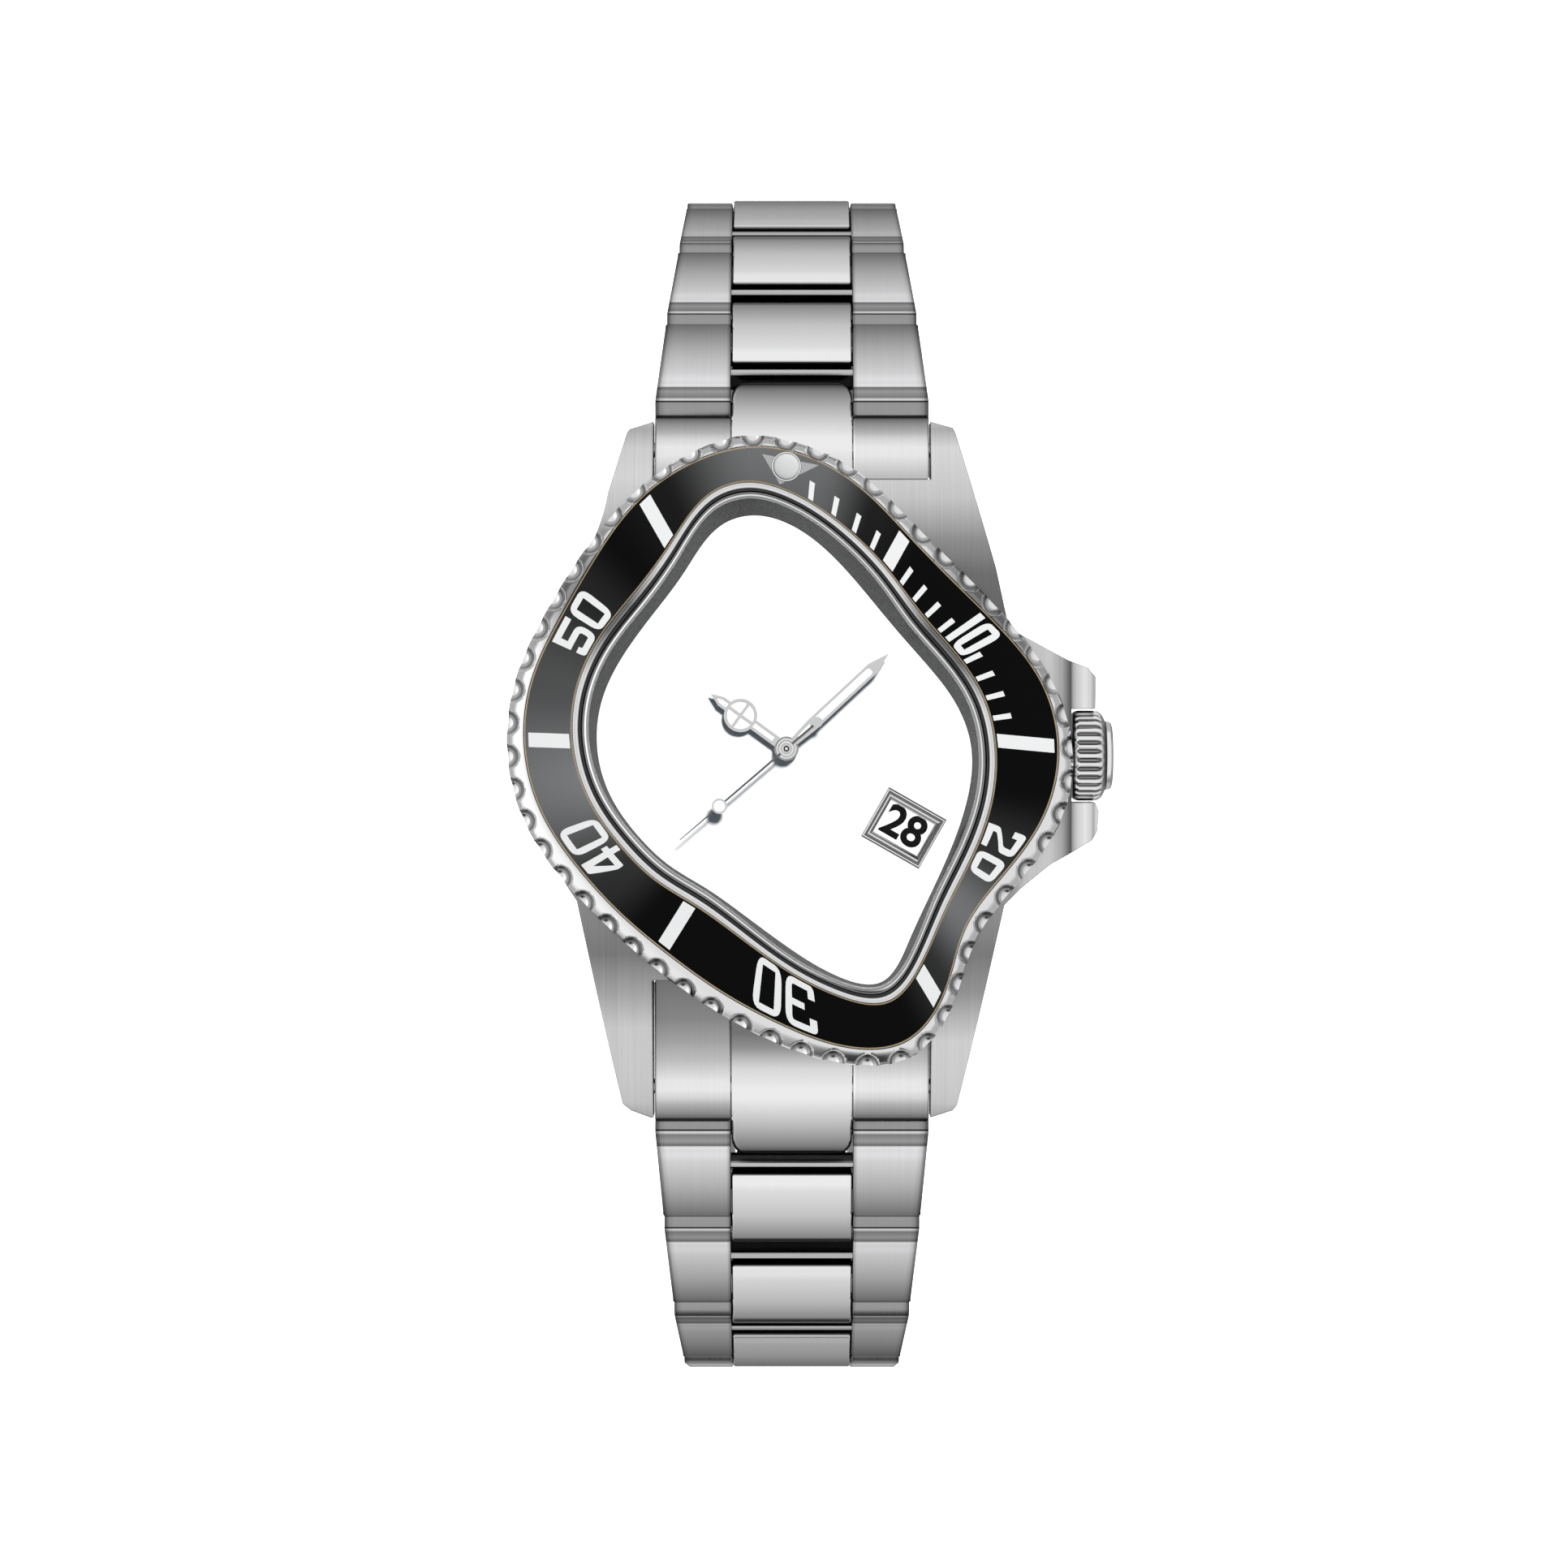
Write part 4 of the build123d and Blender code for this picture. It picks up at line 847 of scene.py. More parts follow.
def bar_loop(angle, width, inner_gap, length=None, lean=0.0):
    """A radial bar across the insert; without a length it reaches the printed band's outer edge."""
    corners = []
    for end, side in (("in", -1), ("in", 1), ("out", 1), ("out", -1)):
        at = angle + (lean if end == "out" else -lean) / 2
        r = ring_radius(INNER, at) + inner_gap
        turn = math.degrees(side * width / 2 / r)
        if end == "out" and length is None:
            r = ring_radius(OUTER, at) - GAP_OUT
            turn = math.degrees(side * width / 2 / r)
            r = ring_radius(OUTER, at + turn) - GAP_OUT
        else:
            r = ring_radius(INNER, at + turn) + inner_gap + (length if end == "out" else 0)
        corners.append(clock(at + turn, r))
    return corners


LONG_BARS = [(29.0, 1.0, 0), (88.6, 0.98, 1.6), (149.0, 1.0, 0), (211.9, 1.0, 0), (272.0, 1.02, 0),
             (330.4, 1.0, 0)]
for n, (angle, width, lean) in enumerate(LONG_BARS):
    loop = bar_loop(angle, width, GAP_IN, lean=lean)
    outline_mesh(f"insert_bar_{n + 1}", [loop], MARK_T, MARK_Z, MARK_WHITE, "case")
for minute in (1, 2, 3, 4, 6, 7, 8, 9, 11, 12, 13, 14):
    loop = bar_loop(5.85 * minute - 0.3, 0.36, 0.2, length=1.28)
    outline_mesh(f"insert_tick_{minute:02d}", [loop], MARK_T, MARK_Z, MARK_WHITE, "case")
outline_mesh(
    "insert_triangle", [[(-1.72, 21.14 - 0.25), (2.3, 20.0 + 0.1), (-0.46, 18.74)]], 0.04, MARK_Z - 0.005,
    TRIANGLE_GREY,
    "case",
)


def turned(name, profile, centre, material, body, replaces=(), axis="z", count=96, smooth_below=40,
           bored=False):
    """A solid of revolution from (radius, height) pairs, closed at its ends or bored; axis is z or x."""
    verts = []
    for r, h in profile:
        for x, y in circle(0, 0, max(r, 0.0005), count):
            verts.append((centre[0] + x, centre[1] + y, centre[2] + h) if axis == "z"
                         else (centre[0] + h, centre[1] + x, centre[2] + y))
    faces = ring_faces(len(profile), count, closed=bored)
    return add_mesh(name, verts, faces, material, body, replaces, smooth_below)


setting = turned(
    "pearl_setting", [(0.9, -0.45), (PEARL_R, -0.45), (PEARL_R, 0.10), (1.04, 0.17), (0.98, 0.19),
                      (0.93, 0.17), (0.92, 0.0)],
    (0, PEARL_Y, INSERT_Z1), SETTING_STEEL, "case", ("lume_pearl",),
)
store(setting, "radius", np.linalg.norm(points_of(setting)[:, :2] - np.array([0, PEARL_Y]), axis=1))
dome = [(0.915 * math.cos(a), 0.02 + 0.2 * math.sin(a)) for a in np.linspace(0, math.pi / 2 - 0.01, 10)]
turned("pearl_lume", [(0.3, -0.4), (0.915, -0.4)] + dome, (0, PEARL_Y, INSERT_Z1), PEARL_LUME, "case")

warped_ring(
    "crystal_seal",
    [(INNER, -0.62, 8.62), (INNER, -0.47, 8.62), (INNER, -0.47, 9.70), (INNER, -0.50, 9.74),
     (INNER, -0.62, 9.74)],
    RUBBER, "case", ("crystal_gasket",),
)
warped_ring(
    "crystal_edge",
    [(INNER, -0.80, 8.62), (INNER, -0.64, 8.62), (INNER, -0.64, 9.66), (INNER, -0.70, 9.80),
     (INNER, -0.82, 9.98),
     (INNER, -0.98, 10.12), (INNER, -1.12, 10.18), (INNER, -1.16, 10.15), (INNER, -1.16, 8.62)],
    CRYSTAL_RIM, "case", ("crystal",), smooth_below=60,
)


def warped_plate(name, column, grow, z0, z1, material, body, replaces=(), columns=720):
    """A closed flat plate inside one warped ring."""
    angles = np.arange(columns) * 360 / columns
    x, y = clock(angles, ring_radius(column, angles) + grow)
    verts = list(zip(x, y, [z0] * columns)) + list(zip(x, y, [z1] * columns))
    return add_mesh(name, verts, ring_faces(2, columns, closed=False), material, body, replaces)


warped_plate("crystal_glass", INNER, -1.165, 9.4, 10.17, CRYSTAL, "case")
warped_ring(
    "rehaut_slope",
    [(INNER, -0.52, 6.79), (INNER, -0.52, 8.58), (INNER, -1.10, 8.58), (INNER, -1.18, 8.50),
     (DIAL, 0.10, 6.86),
     (DIAL, 0.03, 6.79)],
    REHAUT, "case", ("rehaut_ring",), smooth_below=50,
)

# ==== date ========================================================================================
def date_frame_piece():
    """The stepped bright frame round the date."""
    half_out, half_in = (2.39, 2.035), (1.775, 1.265)
    section = [(0, 6.76), (0.06, 6.90), (0.16, 6.965), (0.26, 6.965), (0.34, 6.86), (0.46, 6.86),
               (0.54, 6.93),
               (0.70, 6.96), (0.80, 6.90), (0.98, 6.80), (1.0, 6.30), (0.96, 6.30), (0.94, 6.755)]
    verts = []
    turn = math.radians(DATE_TURN)
    for share, z in section:
        w = half_out[0] + (half_in[0] - half_out[0]) * share
        h = half_out[1] + (half_in[1] - half_out[1]) * share
        for x, y in ((w, h), (-w, h), (-w, -h), (w, -h)):
            verts.append((
                DATE_AT[0] + x * math.cos(turn) - y * math.sin(turn),
                DATE_AT[1] + x * math.sin(turn) + y * math.cos(turn), z,
            ))
    steps = add_mesh("date_frame_steps", verts, ring_faces(len(section), 4), FRAME_STEEL, "case",
                     ("date_frame",), smooth_below=12)
    store(steps, "share", [share for share, _ in section for _ in range(4)])


date_frame_piece()


def date_numbers():
    """The numbers on the date disc, with 28 in the window, and 27 and 29 beside it left off."""
    reach = math.hypot(*DATE_AT)
    heading = math.atan2(DATE_AT[1], DATE_AT[0])
    lean = math.radians(DATE_TURN) - heading
    made = []
    for number in [*range(1, 27), 28, 30, 31]:
        text = bpy.data.curves.new(f"date_{number}", "FONT")
        text.body = str(number)
        text.align_x, text.align_y = "CENTER", "CENTER"
        text.size = 3.15 * MM
        text.offset = 0.085 * MM
        text.extrude = 0.01 * MM
        holder = bpy.data.objects.new(f"date_{number}", text)
        mesh = bpy.data.meshes.new_from_object(holder)
        bpy.data.objects.remove(holder)
        turn = heading + (28 - number) * math.tau / 31
        spot = Matrix.Translation((reach * MM * math.cos(turn), reach * MM * math.sin(turn), 6.115 * MM))
        mesh.transform(spot @ Matrix.Rotation(turn + lean, 4, "Z"))
        made.append(mesh)
    joined = bmesh.new()
    for mesh in made:
        joined.from_mesh(mesh)
    numbers = bpy.data.meshes.new("date_numbers")
    joined.to_mesh(numbers)
    joined.free()
    finish_mesh(numbers, DATE_BLACK)
    place("date_numbers", numbers, "date")


date_numbers()


# ==== hands =======================================================================================
def hour_hand_piece():
    ring_y, ring_r, ring_in, half, tip = 4.04, 1.2, 0.97, 0.38, 6.7
    meet = ring_r - math.sqrt(ring_r**2 - half**2)
    lower = [(-half, 0.7), (half, 0.7), (half, ring_y - ring_r + meet)]
    arc_r = math.degrees(math.asin(half / ring_r))
    right = circle(0, ring_y, ring_r, 20, -90 + arc_r, 180 - 2 * arc_r)
    upper = [(half, 5.75), (0, tip), (-half, 5.75)]
    left = circle(0, ring_y, ring_r, 20, 90 + arc_r, 180 - 2 * arc_r)
    slots = [[(-0.17, 1.15), (-0.17, ring_y - ring_r + 0.02), (0.17, ring_y - ring_r + 0.02), (0.17, 1.15)],
             [(-0.17, ring_y + ring_r - 0.02), (-0.17, 5.75), (0, 6.2), (0.17, 5.75),
              (0.17, ring_y + ring_r - 0.02)]]
    quarter = []
    for start in (0, 90, 180, 270):
        a = circle(0, ring_y, ring_in, 12, start + 6.5, 77)
        mid = math.radians(start + 45)
        quarter.append(a + [(0.15 * math.cos(mid), ring_y + 0.15 * math.sin(mid))])
    loops = [lower + right + upper + left] + slots + quarter
    outline_mesh("hour_hand_frame", loops, 0.18, 7.345, HAND_STEEL, "hour", ("hour_hand",),
                 0.025,
                 -HOUR_AT)
    lume = [[(x * 0.98, y) for x, y in slots[0]], [(x * 0.98, y) for x, y in slots[1]],
            circle(0, ring_y, 0.99, 48)]
    outline_mesh("hour_hand_lume", lume, 0.12, 7.31, LUME, "hour", turn=-HOUR_AT)


def minute_hand_piece():
    outline = [(-0.3, 0.7), (0.3, 0.7), (0.45, 2.4), (0.45, 8.4), (0, 9.97), (-0.45, 8.4), (-0.45, 2.4)]
    slot = [(-0.25, 2.9), (-0.25, 8.1), (-0.15, 8.25), (0.15, 8.25), (0.25, 8.1), (0.25, 2.9)]
    near = [(-0.12, 1.2), (-0.17, 2.45), (0.17, 2.45), (0.12, 1.2)]
    outline_mesh("minute_hand_frame", [outline, slot, near], 0.18, 7.695, HAND_STEEL, "minute",
                 ("minute_hand",), 0.025, -MINUTE_AT)
    outline_mesh("minute_hand_lume", [slot, near], 0.1, 7.66, LUME, "minute", turn=-MINUTE_AT)


def seconds_hand_piece():
    needle = [(-0.08, -2.6), (0.08, -2.6), (0.08, 0.3), (0.07, 5.8), (0.06, 6.8), (0.03, 10.0), (-0.03, 10.0),
              (-0.06, 6.8), (-0.07, 5.8), (-0.08, 0.3)]
    outline_mesh("seconds_hand_needle", [needle], 0.12, 7.98, NEEDLE_STEEL, "seconds",
                 ("seconds_hand",),
                 0.02, -SECOND_AT)
    outline_mesh("seconds_hand_disc", [circle(0, 6.3, 0.55), circle(0, 6.3, 0.40)], 0.15, 8.0, HAND_STEEL,
                 "seconds",
                 (), 0.03, -SECOND_AT)
    outline_mesh("seconds_hand_lume", [circle(0, 6.3, 0.41)], 0.12, 7.985, LUME, "seconds",
                 turn=-SECOND_AT)
    outline_mesh("seconds_hand_tail", [circle(0, -2.9, 0.38)], 0.15, 8.0, HAND_STEEL, "seconds",
                 (), 0.04,
                 -SECOND_AT)


hour_hand_piece()
minute_hand_piece()
seconds_hand_piece()
for hand, section in (
    ("hour", [(0.60, 7.17), (0.87, 7.17), (0.87, 7.30), (0.82, 7.36), (0.60, 7.36)]),
    ("minute", [(0.38, 7.52), (0.78, 7.52), (0.78, 7.66), (0.73, 7.72), (0.38, 7.72)]),
    ("seconds", [(0.13, 7.86), (0.58, 7.86), (0.58, 7.97), (0.53, 8.03), (0.45, 8.04), (0.30, 8.05),
                 (0.27, 8.16),
                 (0.2, 8.2), (0.13, 8.205), (0.09, 8.21), (0.05, 8.21)]),
):
    hub = turned(f"{hand}_hand_hub", section, (0, 0, 0), HUB_STEEL, hand,
                 bored=hand != "seconds")
    store(hub, "radius", np.linalg.norm(points_of(hub)[:, :2], axis=1))


# ==== crown =======================================================================================
def crown_piece():
    """A crown with straight flutes and a domed cap."""
    flutes, per_flute = 30, 8
    count = flutes * per_flute
    turns = np.arange(count) * 2 * math.pi / count
    wave = np.abs((np.arange(count) % per_flute) / per_flute * 2 - 1)  # 1 in a groove, 0 on a ridge
    groove = 0.26 * np.clip(wave * 1.5 - 0.25, 0, 1)
    rows = [
        (22.38, 0.02, 0), (22.38, 1.76, 0), (20.57, 1.76, 0), (20.57, 2.98, 0), (20.60, 3.08, 0),
        (20.72, 3.18, 0.35),
        (20.86, 3.24, 0.8), (21.0, 3.27, 1), (22.15, 3.27, 1), (22.38, 3.22, 0.85), (22.58, 3.10, 0.35),
        (22.72, 2.95, 0), (22.88, 2.66, 0), (22.88, 2.52, 0), (23.02, 2.48, 0), (23.25, 2.44, 0),
        (23.38, 2.34, 0),
        (23.44, 2.1, 0), (23.47, 1.4, 0), (23.49, 0.7, 0), (23.495, 0.02, 0),
    ]
    verts = []
    for x, r, cut in rows:
        reach = r - groove * cut
        verts += list(zip([x] * count, CROWN_Y + reach * np.cos(turns), CROWN_Z + reach * np.sin(turns)))
    faces = ring_faces(len(rows), count, closed=False)
    knob = add_mesh("crown_fluted", verts, faces, CROWN_STEEL, "crown_knob", ("crown",), 25)
    depth = [0.0 if cut == 0 else w for _, _, cut in rows for w in np.clip(wave * 1.2 - 0.15, 0, 1) * cut]
    store(knob, "flute", depth)


crown_piece()


# ==== bracelet ====================================================================================
PITCH, HALF_T, MID_HALF_T = 6.9, 1.45, 1.35
SIDE_IN, MID_HALF_W = 4.43, 4.35
HALF_WIDTHS = {
    "12": [9.88, 9.1, 8.3, 7.85, 7.8, 7.8, 7.8, 7.8, 7.8],
    "6": [9.88, 9.25, 8.6, 8.0, 7.8, 7.8, 7.8, 7.8, 7.8],
}
MID_START, NOSE, BAR_AT = 3.15, 1.5, 2.5
# Painted shade: the thin web under the bar is painted dark, a sheet that closes the gap from below and stands
# in for its shade.
SHADE_WEB_FROM = 2.15  # a thin web under the bar closes the gap from below
END_NOSE = 1.85  # how far the end link's centre reaches past the first pin
PIN_R, PIN_AT = 0.5, 4.1
LAST_SLOPE = 179.54  # the slope of the last row of the 12 o'clock half


def row_frame(side, k):
    """Functions that carry (across, along, outward) of one row to the frame, and read two of them back."""
    y0, z0 = (JOINTS[f"row_{side}_{k}_bend"]["pos_m"][i] / MM for i in (1, 2))
    following = f"row_{side}_{k + 1}_bend" if k < 8 else "clasp_inner_swing"
    if side == "12" and k == 8:
        slope = math.radians(LAST_SLOPE)
    else:
        y1, z1 = (JOINTS[following]["pos_m"][i] / MM for i in (1, 2))
        slope = math.atan2(z0 - z1, (y1 - y0) if side == "12" else (y0 - y1))
    forward = 1 if side == "12" else -1
    c, s = math.cos(slope), math.sin(slope)

    def carry(points):
        across, u, v = (np.asarray(points, float)[:, i] for i in range(3))
        return np.stack([BX + across, y0 + forward * (u * c + v * s), z0 - u * s + v * c], axis=1)

    def along_row(points):
        return forward * (points[:, 1] - y0) * c - (points[:, 2] - z0) * s

    def height_in_row(points):
        return forward * (points[:, 1] - y0) * s + (points[:, 2] - z0) * c

    return carry, along_row, height_in_row


def plate_mesh(loops, thickness, round_by, steps=3):
    """Points (u, v, across) and faces of a plate with rounded edges, centred on across = 0."""
    mesh = plate("link", loops, thickness, round_by, steps, 1.0)
    points = np.array([v.co[:] for v in mesh.vertices])
    faces = [tuple(p.vertices) for p in mesh.polygons]
    bpy.data.meshes.remove(mesh)
    return points, faces


def joined(parts):
    """Several (points, faces) as one."""
    points, faces, offset = [], [], 0
    for own, own_faces in parts:
        points.append(own)
        faces += [tuple(i + offset for i in face) for face in own_faces]
        offset += len(own)
    return np.concatenate(points), faces


def cylinder_part(across0, across1, u, v, radius, count=24, chamfer=0.06):
    rows = [(across0, radius - chamfer), (across0 + chamfer, radius), (across1 - chamfer, radius),
            (across1, radius - chamfer)]
    points = [(a, u + y, v + z) for a, r in rows for y, z in circle(0, 0, r, count)]
    return np.array(points), ring_faces(len(rows), count, closed=False)


def box_part(centre, size, chamfer=0.12):
    """A box with chamfered long edges, across being its long way."""
    half = [s / 2 for s in size]
    section = []
    for su, sv in ((1, 1), (-1, 1), (-1, -1), (1, -1)):
        first, second = (half[1] - chamfer, half[2]), (half[1], half[2] - chamfer)
        corner = [first, second] if su * sv < 0 else [second, first]
        section += [(su * a, sv * b) for a, b in corner]
    points = [(centre[0] + a, centre[1] + u, centre[2] + v) for a in (-half[0], half[0]) for u, v in section]
    return np.array(points), ring_faces(2, len(section), closed=False)


def side_profile(last):
    """A side link from the side: a round knuckle at its first pin and a hollow for the next one."""
    knuckle = circle(0, 0, HALF_T - 0.02, 20, 270, -180)
    if last:
        return knuckle + [(PITCH - 1.3, HALF_T), (PITCH - 1.3, -HALF_T)]
    hollow = circle(PITCH, 0, HALF_T + 0.1, 16, 110.7, 125.5)
    tip = [(PITCH - 0.95, HALF_T), (PITCH - 0.68, HALF_T - 0.03), (PITCH - 0.60, HALF_T - 0.12)]
    return knuckle + tip + hollow[1:] + [(PITCH - 0.88, -HALF_T)]


def bracelet_row(side, k):
    (carry, along_row, height_in_row), body = row_frame(side, k), f"row_{side}_{k}_body"
    last = side == "12" and k == 8
    half0, half1 = HALF_WIDTHS[side][k - 1], HALF_WIDTHS[side][k]
    holes = [circle(0, 0, PIN_R + 0.04, 20), circle(PIN_AT, 0, PIN_R + 0.04, 20)]
    flat, faces = plate_mesh([side_profile(last)] + holes, half0 - SIDE_IN, 0.13)
    sides = []
    for sign in (-1, 1):
        share = flat[:, 2] / (half0 - SIDE_IN) + 0.5
        half_here = half0 + (half1 - half0) * np.clip(flat[:, 0] / PITCH, 0, 1)
        across = sign * (SIDE_IN + share * (half_here - SIDE_IN))
        sides.append((np.stack([across, flat[:, 0], flat[:, 1]], axis=1), faces))
    points, faces = joined(sides)
    links = merged_mesh(f"row_{side}_{k}_sides", carry(points), faces, LINK_STEEL, body,
                        (f"row_{side}_{k}",))
    spots = points_of(links)
    from_middle = np.abs(spots[:, 0] - BX)
    outer_edge = half0 + (half1 - half0) * np.clip(along_row(spots) / PITCH, 0, 1)
    store(links, "along", along_row(spots))
    store(links, "share", (from_middle - SIDE_IN) / (outer_edge - SIDE_IN))
    end = PITCH - 1.3 if last else PITCH + NOSE
    centre = rounded(
        [(MID_START, -MID_HALF_T), (end, -MID_HALF_T), (end, MID_HALF_T), (MID_START, MID_HALF_T)],
        [0.25, 0.25 if last else 0.8, 0.25 if last else 0.8, 0.25],
    )
    holes = [] if last else [circle(PITCH, 0, PIN_R + 0.05, 20)]
    flat, faces = plate_mesh([centre] + holes + [circle(PIN_AT, 0, PIN_R + 0.02, 20)], 2 * MID_HALF_W, 0.16)
    points = np.stack([flat[:, 2], flat[:, 0], flat[:, 1]], axis=1)
    middle = merged_mesh(f"row_{side}_{k}_centre", carry(points), faces, CENTRE_STEEL, body)
    store(middle, "along", along_row(points_of(middle)))
    inner = [box_part((0, BAR_AT, 0), (2 * SIDE_IN - 0.02, 0.5, 2.2))]
    # the dark web under the bar, in painted shade
    inner.append(box_part((0, (SHADE_WEB_FROM + MID_START) / 2, -1.0),
                          (2 * SIDE_IN - 0.02, MID_START - SHADE_WEB_FROM, 0.2), 0.03))
    inner += [cylinder_part(-reach, reach, u, 0, PIN_R) for u,
              reach in ((0, half0 - 0.5), (PIN_AT, half1 - 0.4))]
    points, faces = joined(inner)
    bars = merged_mesh(f"row_{side}_{k}_pins", carry(points), faces, BAR_STEEL, body)
    store(bars, "height", height_in_row(points_of(bars)))


for half_name in ("12", "6"):
    for row_number in range(1, 9):
        bracelet_row(half_name, row_number)


def bore(piece, points, faces, material, smooth_below):
    """Cuts a hole through a piece."""
    cutter = bpy.data.objects.new("cutter", closed_mesh("cutter", points, faces))
    bpy.context.scene.collection.objects.link(cutter)
    piece.modifiers.clear()
    cut = piece.modifiers.new("cut", "BOOLEAN")
    cut.operation, cut.solver, cut.object = "DIFFERENCE", "EXACT", cutter
    result = bpy.data.meshes.new_from_object(piece.evaluated_get(bpy.context.evaluated_depsgraph_get()))
    work = bmesh.new()
    work.from_mesh(result)
    work.to_mesh(piece.data)
    work.free()
    bpy.data.objects.remove(cutter)
    bpy.data.meshes.remove(result)
    finish_mesh(piece.data, material, smooth_below)
    piece.modifiers.clear()
    even_shading(piece)


def end_link_piece(side):
    """The fixed link between two lugs: brushed sides, and a smooth crowned centre."""
    x0, y0, z0 = (c / MM for c in JOINTS[f"row_{side}_1_bend"]["pos_m"])
    forward, back, back_top = (1, -5.2, 2.75) if side == "12" else (-1, -10.8, 3.1)

    def carry(points):
        across, u, v = (np.asarray(points, float)[:, i] for i in range(3))
        return np.stack([BX + across, y0 + forward * u, z0 + v], axis=1)

    top = [(back + (-2.6 - back) * t, back_top - (back_top - 2.0) * t - 0.15 * t * (1 - t))
           for t in np.linspace(0, 1, 8)]
    top += [(-2.6 + 1.65 * t, 2.0 - 0.39 * t + 0.02 * t * (1 - t)) for t in np.linspace(0.2, 1, 5)]
    tip = [(-0.72, 1.54), (-0.66, 1.46)]
    hollow = circle(0, 0, HALF_T + 0.1, 16, 115, 122)
    profile = top + tip + hollow + [(-0.88, -HALF_T), (back, -1.2)]
    width = 9.88 - SIDE_IN
    flat, faces = plate_mesh([profile], width, 0.16)
    sides = [(np.stack([sign * (SIDE_IN + width / 2 + flat[:, 2]), flat[:, 0], flat[:, 1]], axis=1), faces)
             for sign in (-1, 1)]
    points, side_faces = joined(sides)
    piece = merged_mesh(f"end_link_{side}_sides", carry(points), side_faces, END_STEEL, "case",
                        (f"end_link_{side}",))
    store(piece, "along", forward * (points_of(piece)[:, 1] - y0))
    centre_top = [(u, v) for u, v in top if u < -2.4]
    centre_top += [(-2.3 + 2.3 * t, 1.93 - 0.58 * t) for t in np.linspace(0, 1, 6)]
    nose = circle(END_NOSE - 0.6, MID_HALF_T - 0.6, 0.6, 8, 90, -90) + circle(END_NOSE - 0.6,
                                                                              0.6 - MID_HALF_T, 0.6, 8, 0,
                                                                              -90)
    outline = centre_top + nose + [(0, -MID_HALF_T), (-2.3, -HALF_T), (back, -1.2)]
    spans = MID_HALF_W * np.sin(np.linspace(-math.pi / 2, math.pi / 2, 25))
    points, count = [], len(outline)
    for across in spans:
        edge = abs(across) / MID_HALF_W
        drop = 0.30 * edge**4
        pull = 1.0 - math.sqrt(1 - max((edge - 0.78) / 0.22, 0) ** 2)
        for u, v in outline:
            share = min(max((u + 0.8) / 2.2, 0), 1)
            points.append((across, u - 1.1 * pull * share, v - drop if v > 0.4 else v))
    faces = ring_faces(len(spans), count, closed=False)
    piece = merged_mesh(f"end_link_{side}_centre", carry(points), faces, END_CENTRE, "case",
                        smooth_below=50)
    pin, pin_faces = cylinder_part(-MID_HALF_W - 1, MID_HALF_W + 1, 0, 0, PIN_R + 0.05)
    bore(piece, carry(pin), pin_faces, END_CENTRE, 50)
    store(piece, "along", forward * (points_of(piece)[:, 1] - y0))


end_link_piece("12")
end_link_piece("6")


# ==== looks of the CAD pieces that stay as they are ===============================================
def dress(name, material):
    piece = frame["nodes"][name]
    piece.data.materials.clear()
    piece.data.materials.append(material)


BACK_STEEL = brushed_steel("case_back_steel", 0.50, 0.62, 0.28, "y", edge=0.12)
CAD_LOOKS = {
    CASE_STEEL: ("mid_case",),
    BACK_STEEL: ("case_back",),
    RUBBER: ("case_back_gasket", "crown_gasket"),
    DIAL_WHITE: ("dial",),
    DATE_WHITE: ("date_ring",),
    CLASP_STEEL: ("clasp_cover", "clasp_blade_outer", "clasp_blade_inner"),
    WHEEL_STEEL: ("spring_bars", "crown_tube", "winding_stem", "movement_screws", "escape_wheel",
                  "pallet_fork",
                  "hairspring", "rotor"),
    PLATE_STEEL: ("main_plate", "train_bridge", "balance_cock"),
    HOLDER: ("movement_holder",),
    BRASS: ("centre_wheel", "third_wheel", "fourth_wheel", "balance_wheel", "barrel", "minute_wheel",
            "hour_wheel"),
}
for look, names in CAD_LOOKS.items():
    for cad_name in names:
        dress(cad_name, look)


# ==== floor, light and camera =====================================================================
def floor_piece():
    size, z = 3000.0, -33.95
    mesh = bpy.data.meshes.new("floor")
    corners = [(-size, -size, z), (size, -size, z), (size, size, z), (-size, size, z)]
    mesh.from_pydata([tuple(c * MM for c in corner) for corner in corners], [], [(0, 1, 2, 3)])
    white, tree, shader = new_material("floor_white", (0.9, 0.9, 0.9), 0.0, 0.9)
    shader.inputs["Specular IOR Level"].default_value = 0.0
    shader.inputs["Emission Color"].default_value = (1, 1, 1, 1)
    shader.inputs["Emission Strength"].default_value = 1.0
    mesh.materials.append(white)
    floor = bpy.data.objects.new("floor", mesh)
    bpy.context.scene.collection.objects.link(floor)
    floor.visible_glossy = False


floor_piece()


def soft_box(name, azimuth, elevation, distance, size, strength, colour=(1, 1, 1)):
    """A light that faces the watch; azimuth runs from +X towards +Y, in degrees."""
    lamp = bpy.data.lights.new(name, "AREA")
    lamp.shape = "RECTANGLE"
    lamp.size, lamp.size_y = size
    lamp.energy = strength
    lamp.color = colour
    holder = bpy.data.objects.new(name, lamp)
    a, e = math.radians(azimuth), math.radians(elevation)
    at = Vector((math.cos(e) * math.cos(a), math.cos(e) * math.sin(a), math.sin(e))) * distance
    holder.location = at
    holder.rotation_euler = at.to_track_quat("Z", "Y").to_euler()
    holder.visible_glossy = False
    bpy.context.scene.collection.objects.link(holder)
    return holder


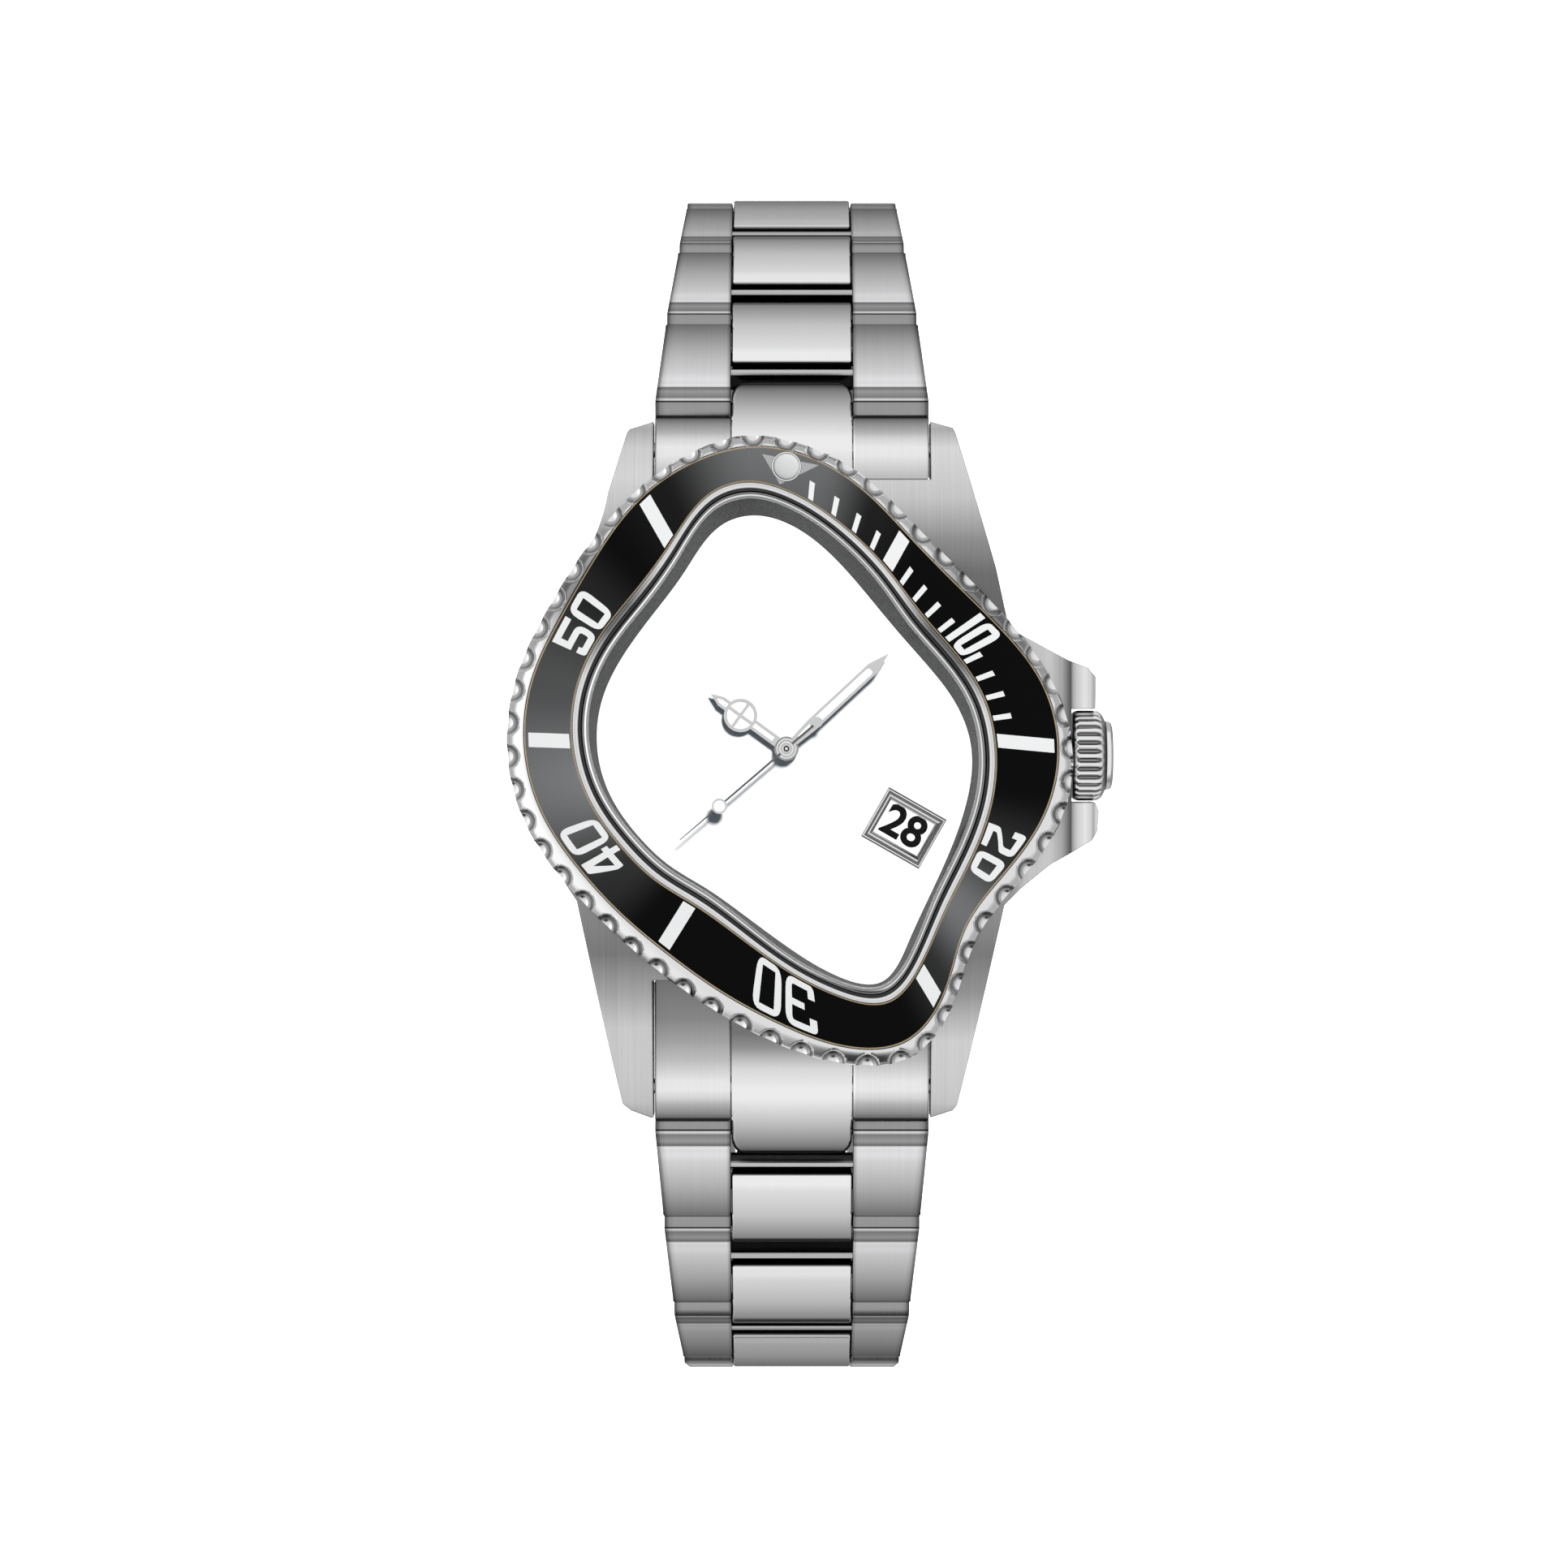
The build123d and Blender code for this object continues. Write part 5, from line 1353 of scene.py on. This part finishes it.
KEY_SIZE, KEY_RADIANCE = 0.11, 142.0
FILL_SIZE, FILL_RADIANCE = 0.6, 0.20
key = soft_box("key_top", 65, 55, 0.6, (KEY_SIZE, KEY_SIZE), KEY_RADIANCE * math.pi * KEY_SIZE**2)
shade_makers = bpy.data.collections.new("shade_makers")  # only the hands shade the dial from the key light
for candidate in list(bpy.data.objects):
    if "_hand_" in candidate.name:
        shade_makers.objects.link(candidate)
        candidate.visible_diffuse = False
key.light_linking.blocker_collection = shade_makers
soft_box("fill_below", -70, 75, 0.5, (FILL_SIZE, FILL_SIZE), FILL_RADIANCE * math.pi * FILL_SIZE**2,
         (0.42, 0.70, 1.0))


def studio_world():
    """Light that changes softly with direction: bright to the left and top, dark low down at 6 o'clock."""
    world = bpy.data.worlds.new("studio")
    bpy.context.scene.world = world
    world.use_nodes = True
    tree = world.node_tree
    backdrop = tree.nodes["Background"]
    backdrop.inputs["Color"].default_value = (1, 1, 1, 1)
    heading = axes(tree, "Generated")

    def combine(operation, first, second):
        node = tree.nodes.new("ShaderNodeMath")
        node.operation = operation
        for socket, value in zip(node.inputs, (first, second)):
            if isinstance(value, (int, float)):
                socket.default_value = value
            else:
                tree.links.new(value, socket)
        return node.outputs["Value"]

    x, y, z = (heading[axis] for axis in "XYZ")
    above = spread(tree, z, 0.0, 1.0, -0.12, 0.06)
    glow = spread(tree, z, 0.5, SKY_LEVEL, -0.12, 0.06)
    left = combine("MULTIPLY", spread(tree, x, 0.5, 0.0, -1.0, -0.5), above)
    dark = combine("MULTIPLY", spread(tree, y, 1.0, 0.0, -0.99, -0.86), spread(tree, z, 0.0, 1.0, -0.5, -0.2))
    glow = combine("ADD", glow, left)
    glow = combine("MULTIPLY", glow, combine("SUBTRACT", 1.0, combine("MULTIPLY", dark, 0.93)))
    tree.links.new(glow, backdrop.inputs["Strength"])
    world.cycles_visibility.diffuse = False


studio_world()

camera_data = bpy.data.cameras.new("camera")
camera_data.sensor_width = 36
camera_data.lens = 106
camera = bpy.data.objects.new("camera", camera_data)
camera.location = (-0.00017, 0.00195, 0.337)
camera_data.shift_y = -0.0400
bpy.context.scene.collection.objects.link(camera)
bpy.context.scene.camera = camera
bpy.context.scene.view_settings.view_transform = "Standard"
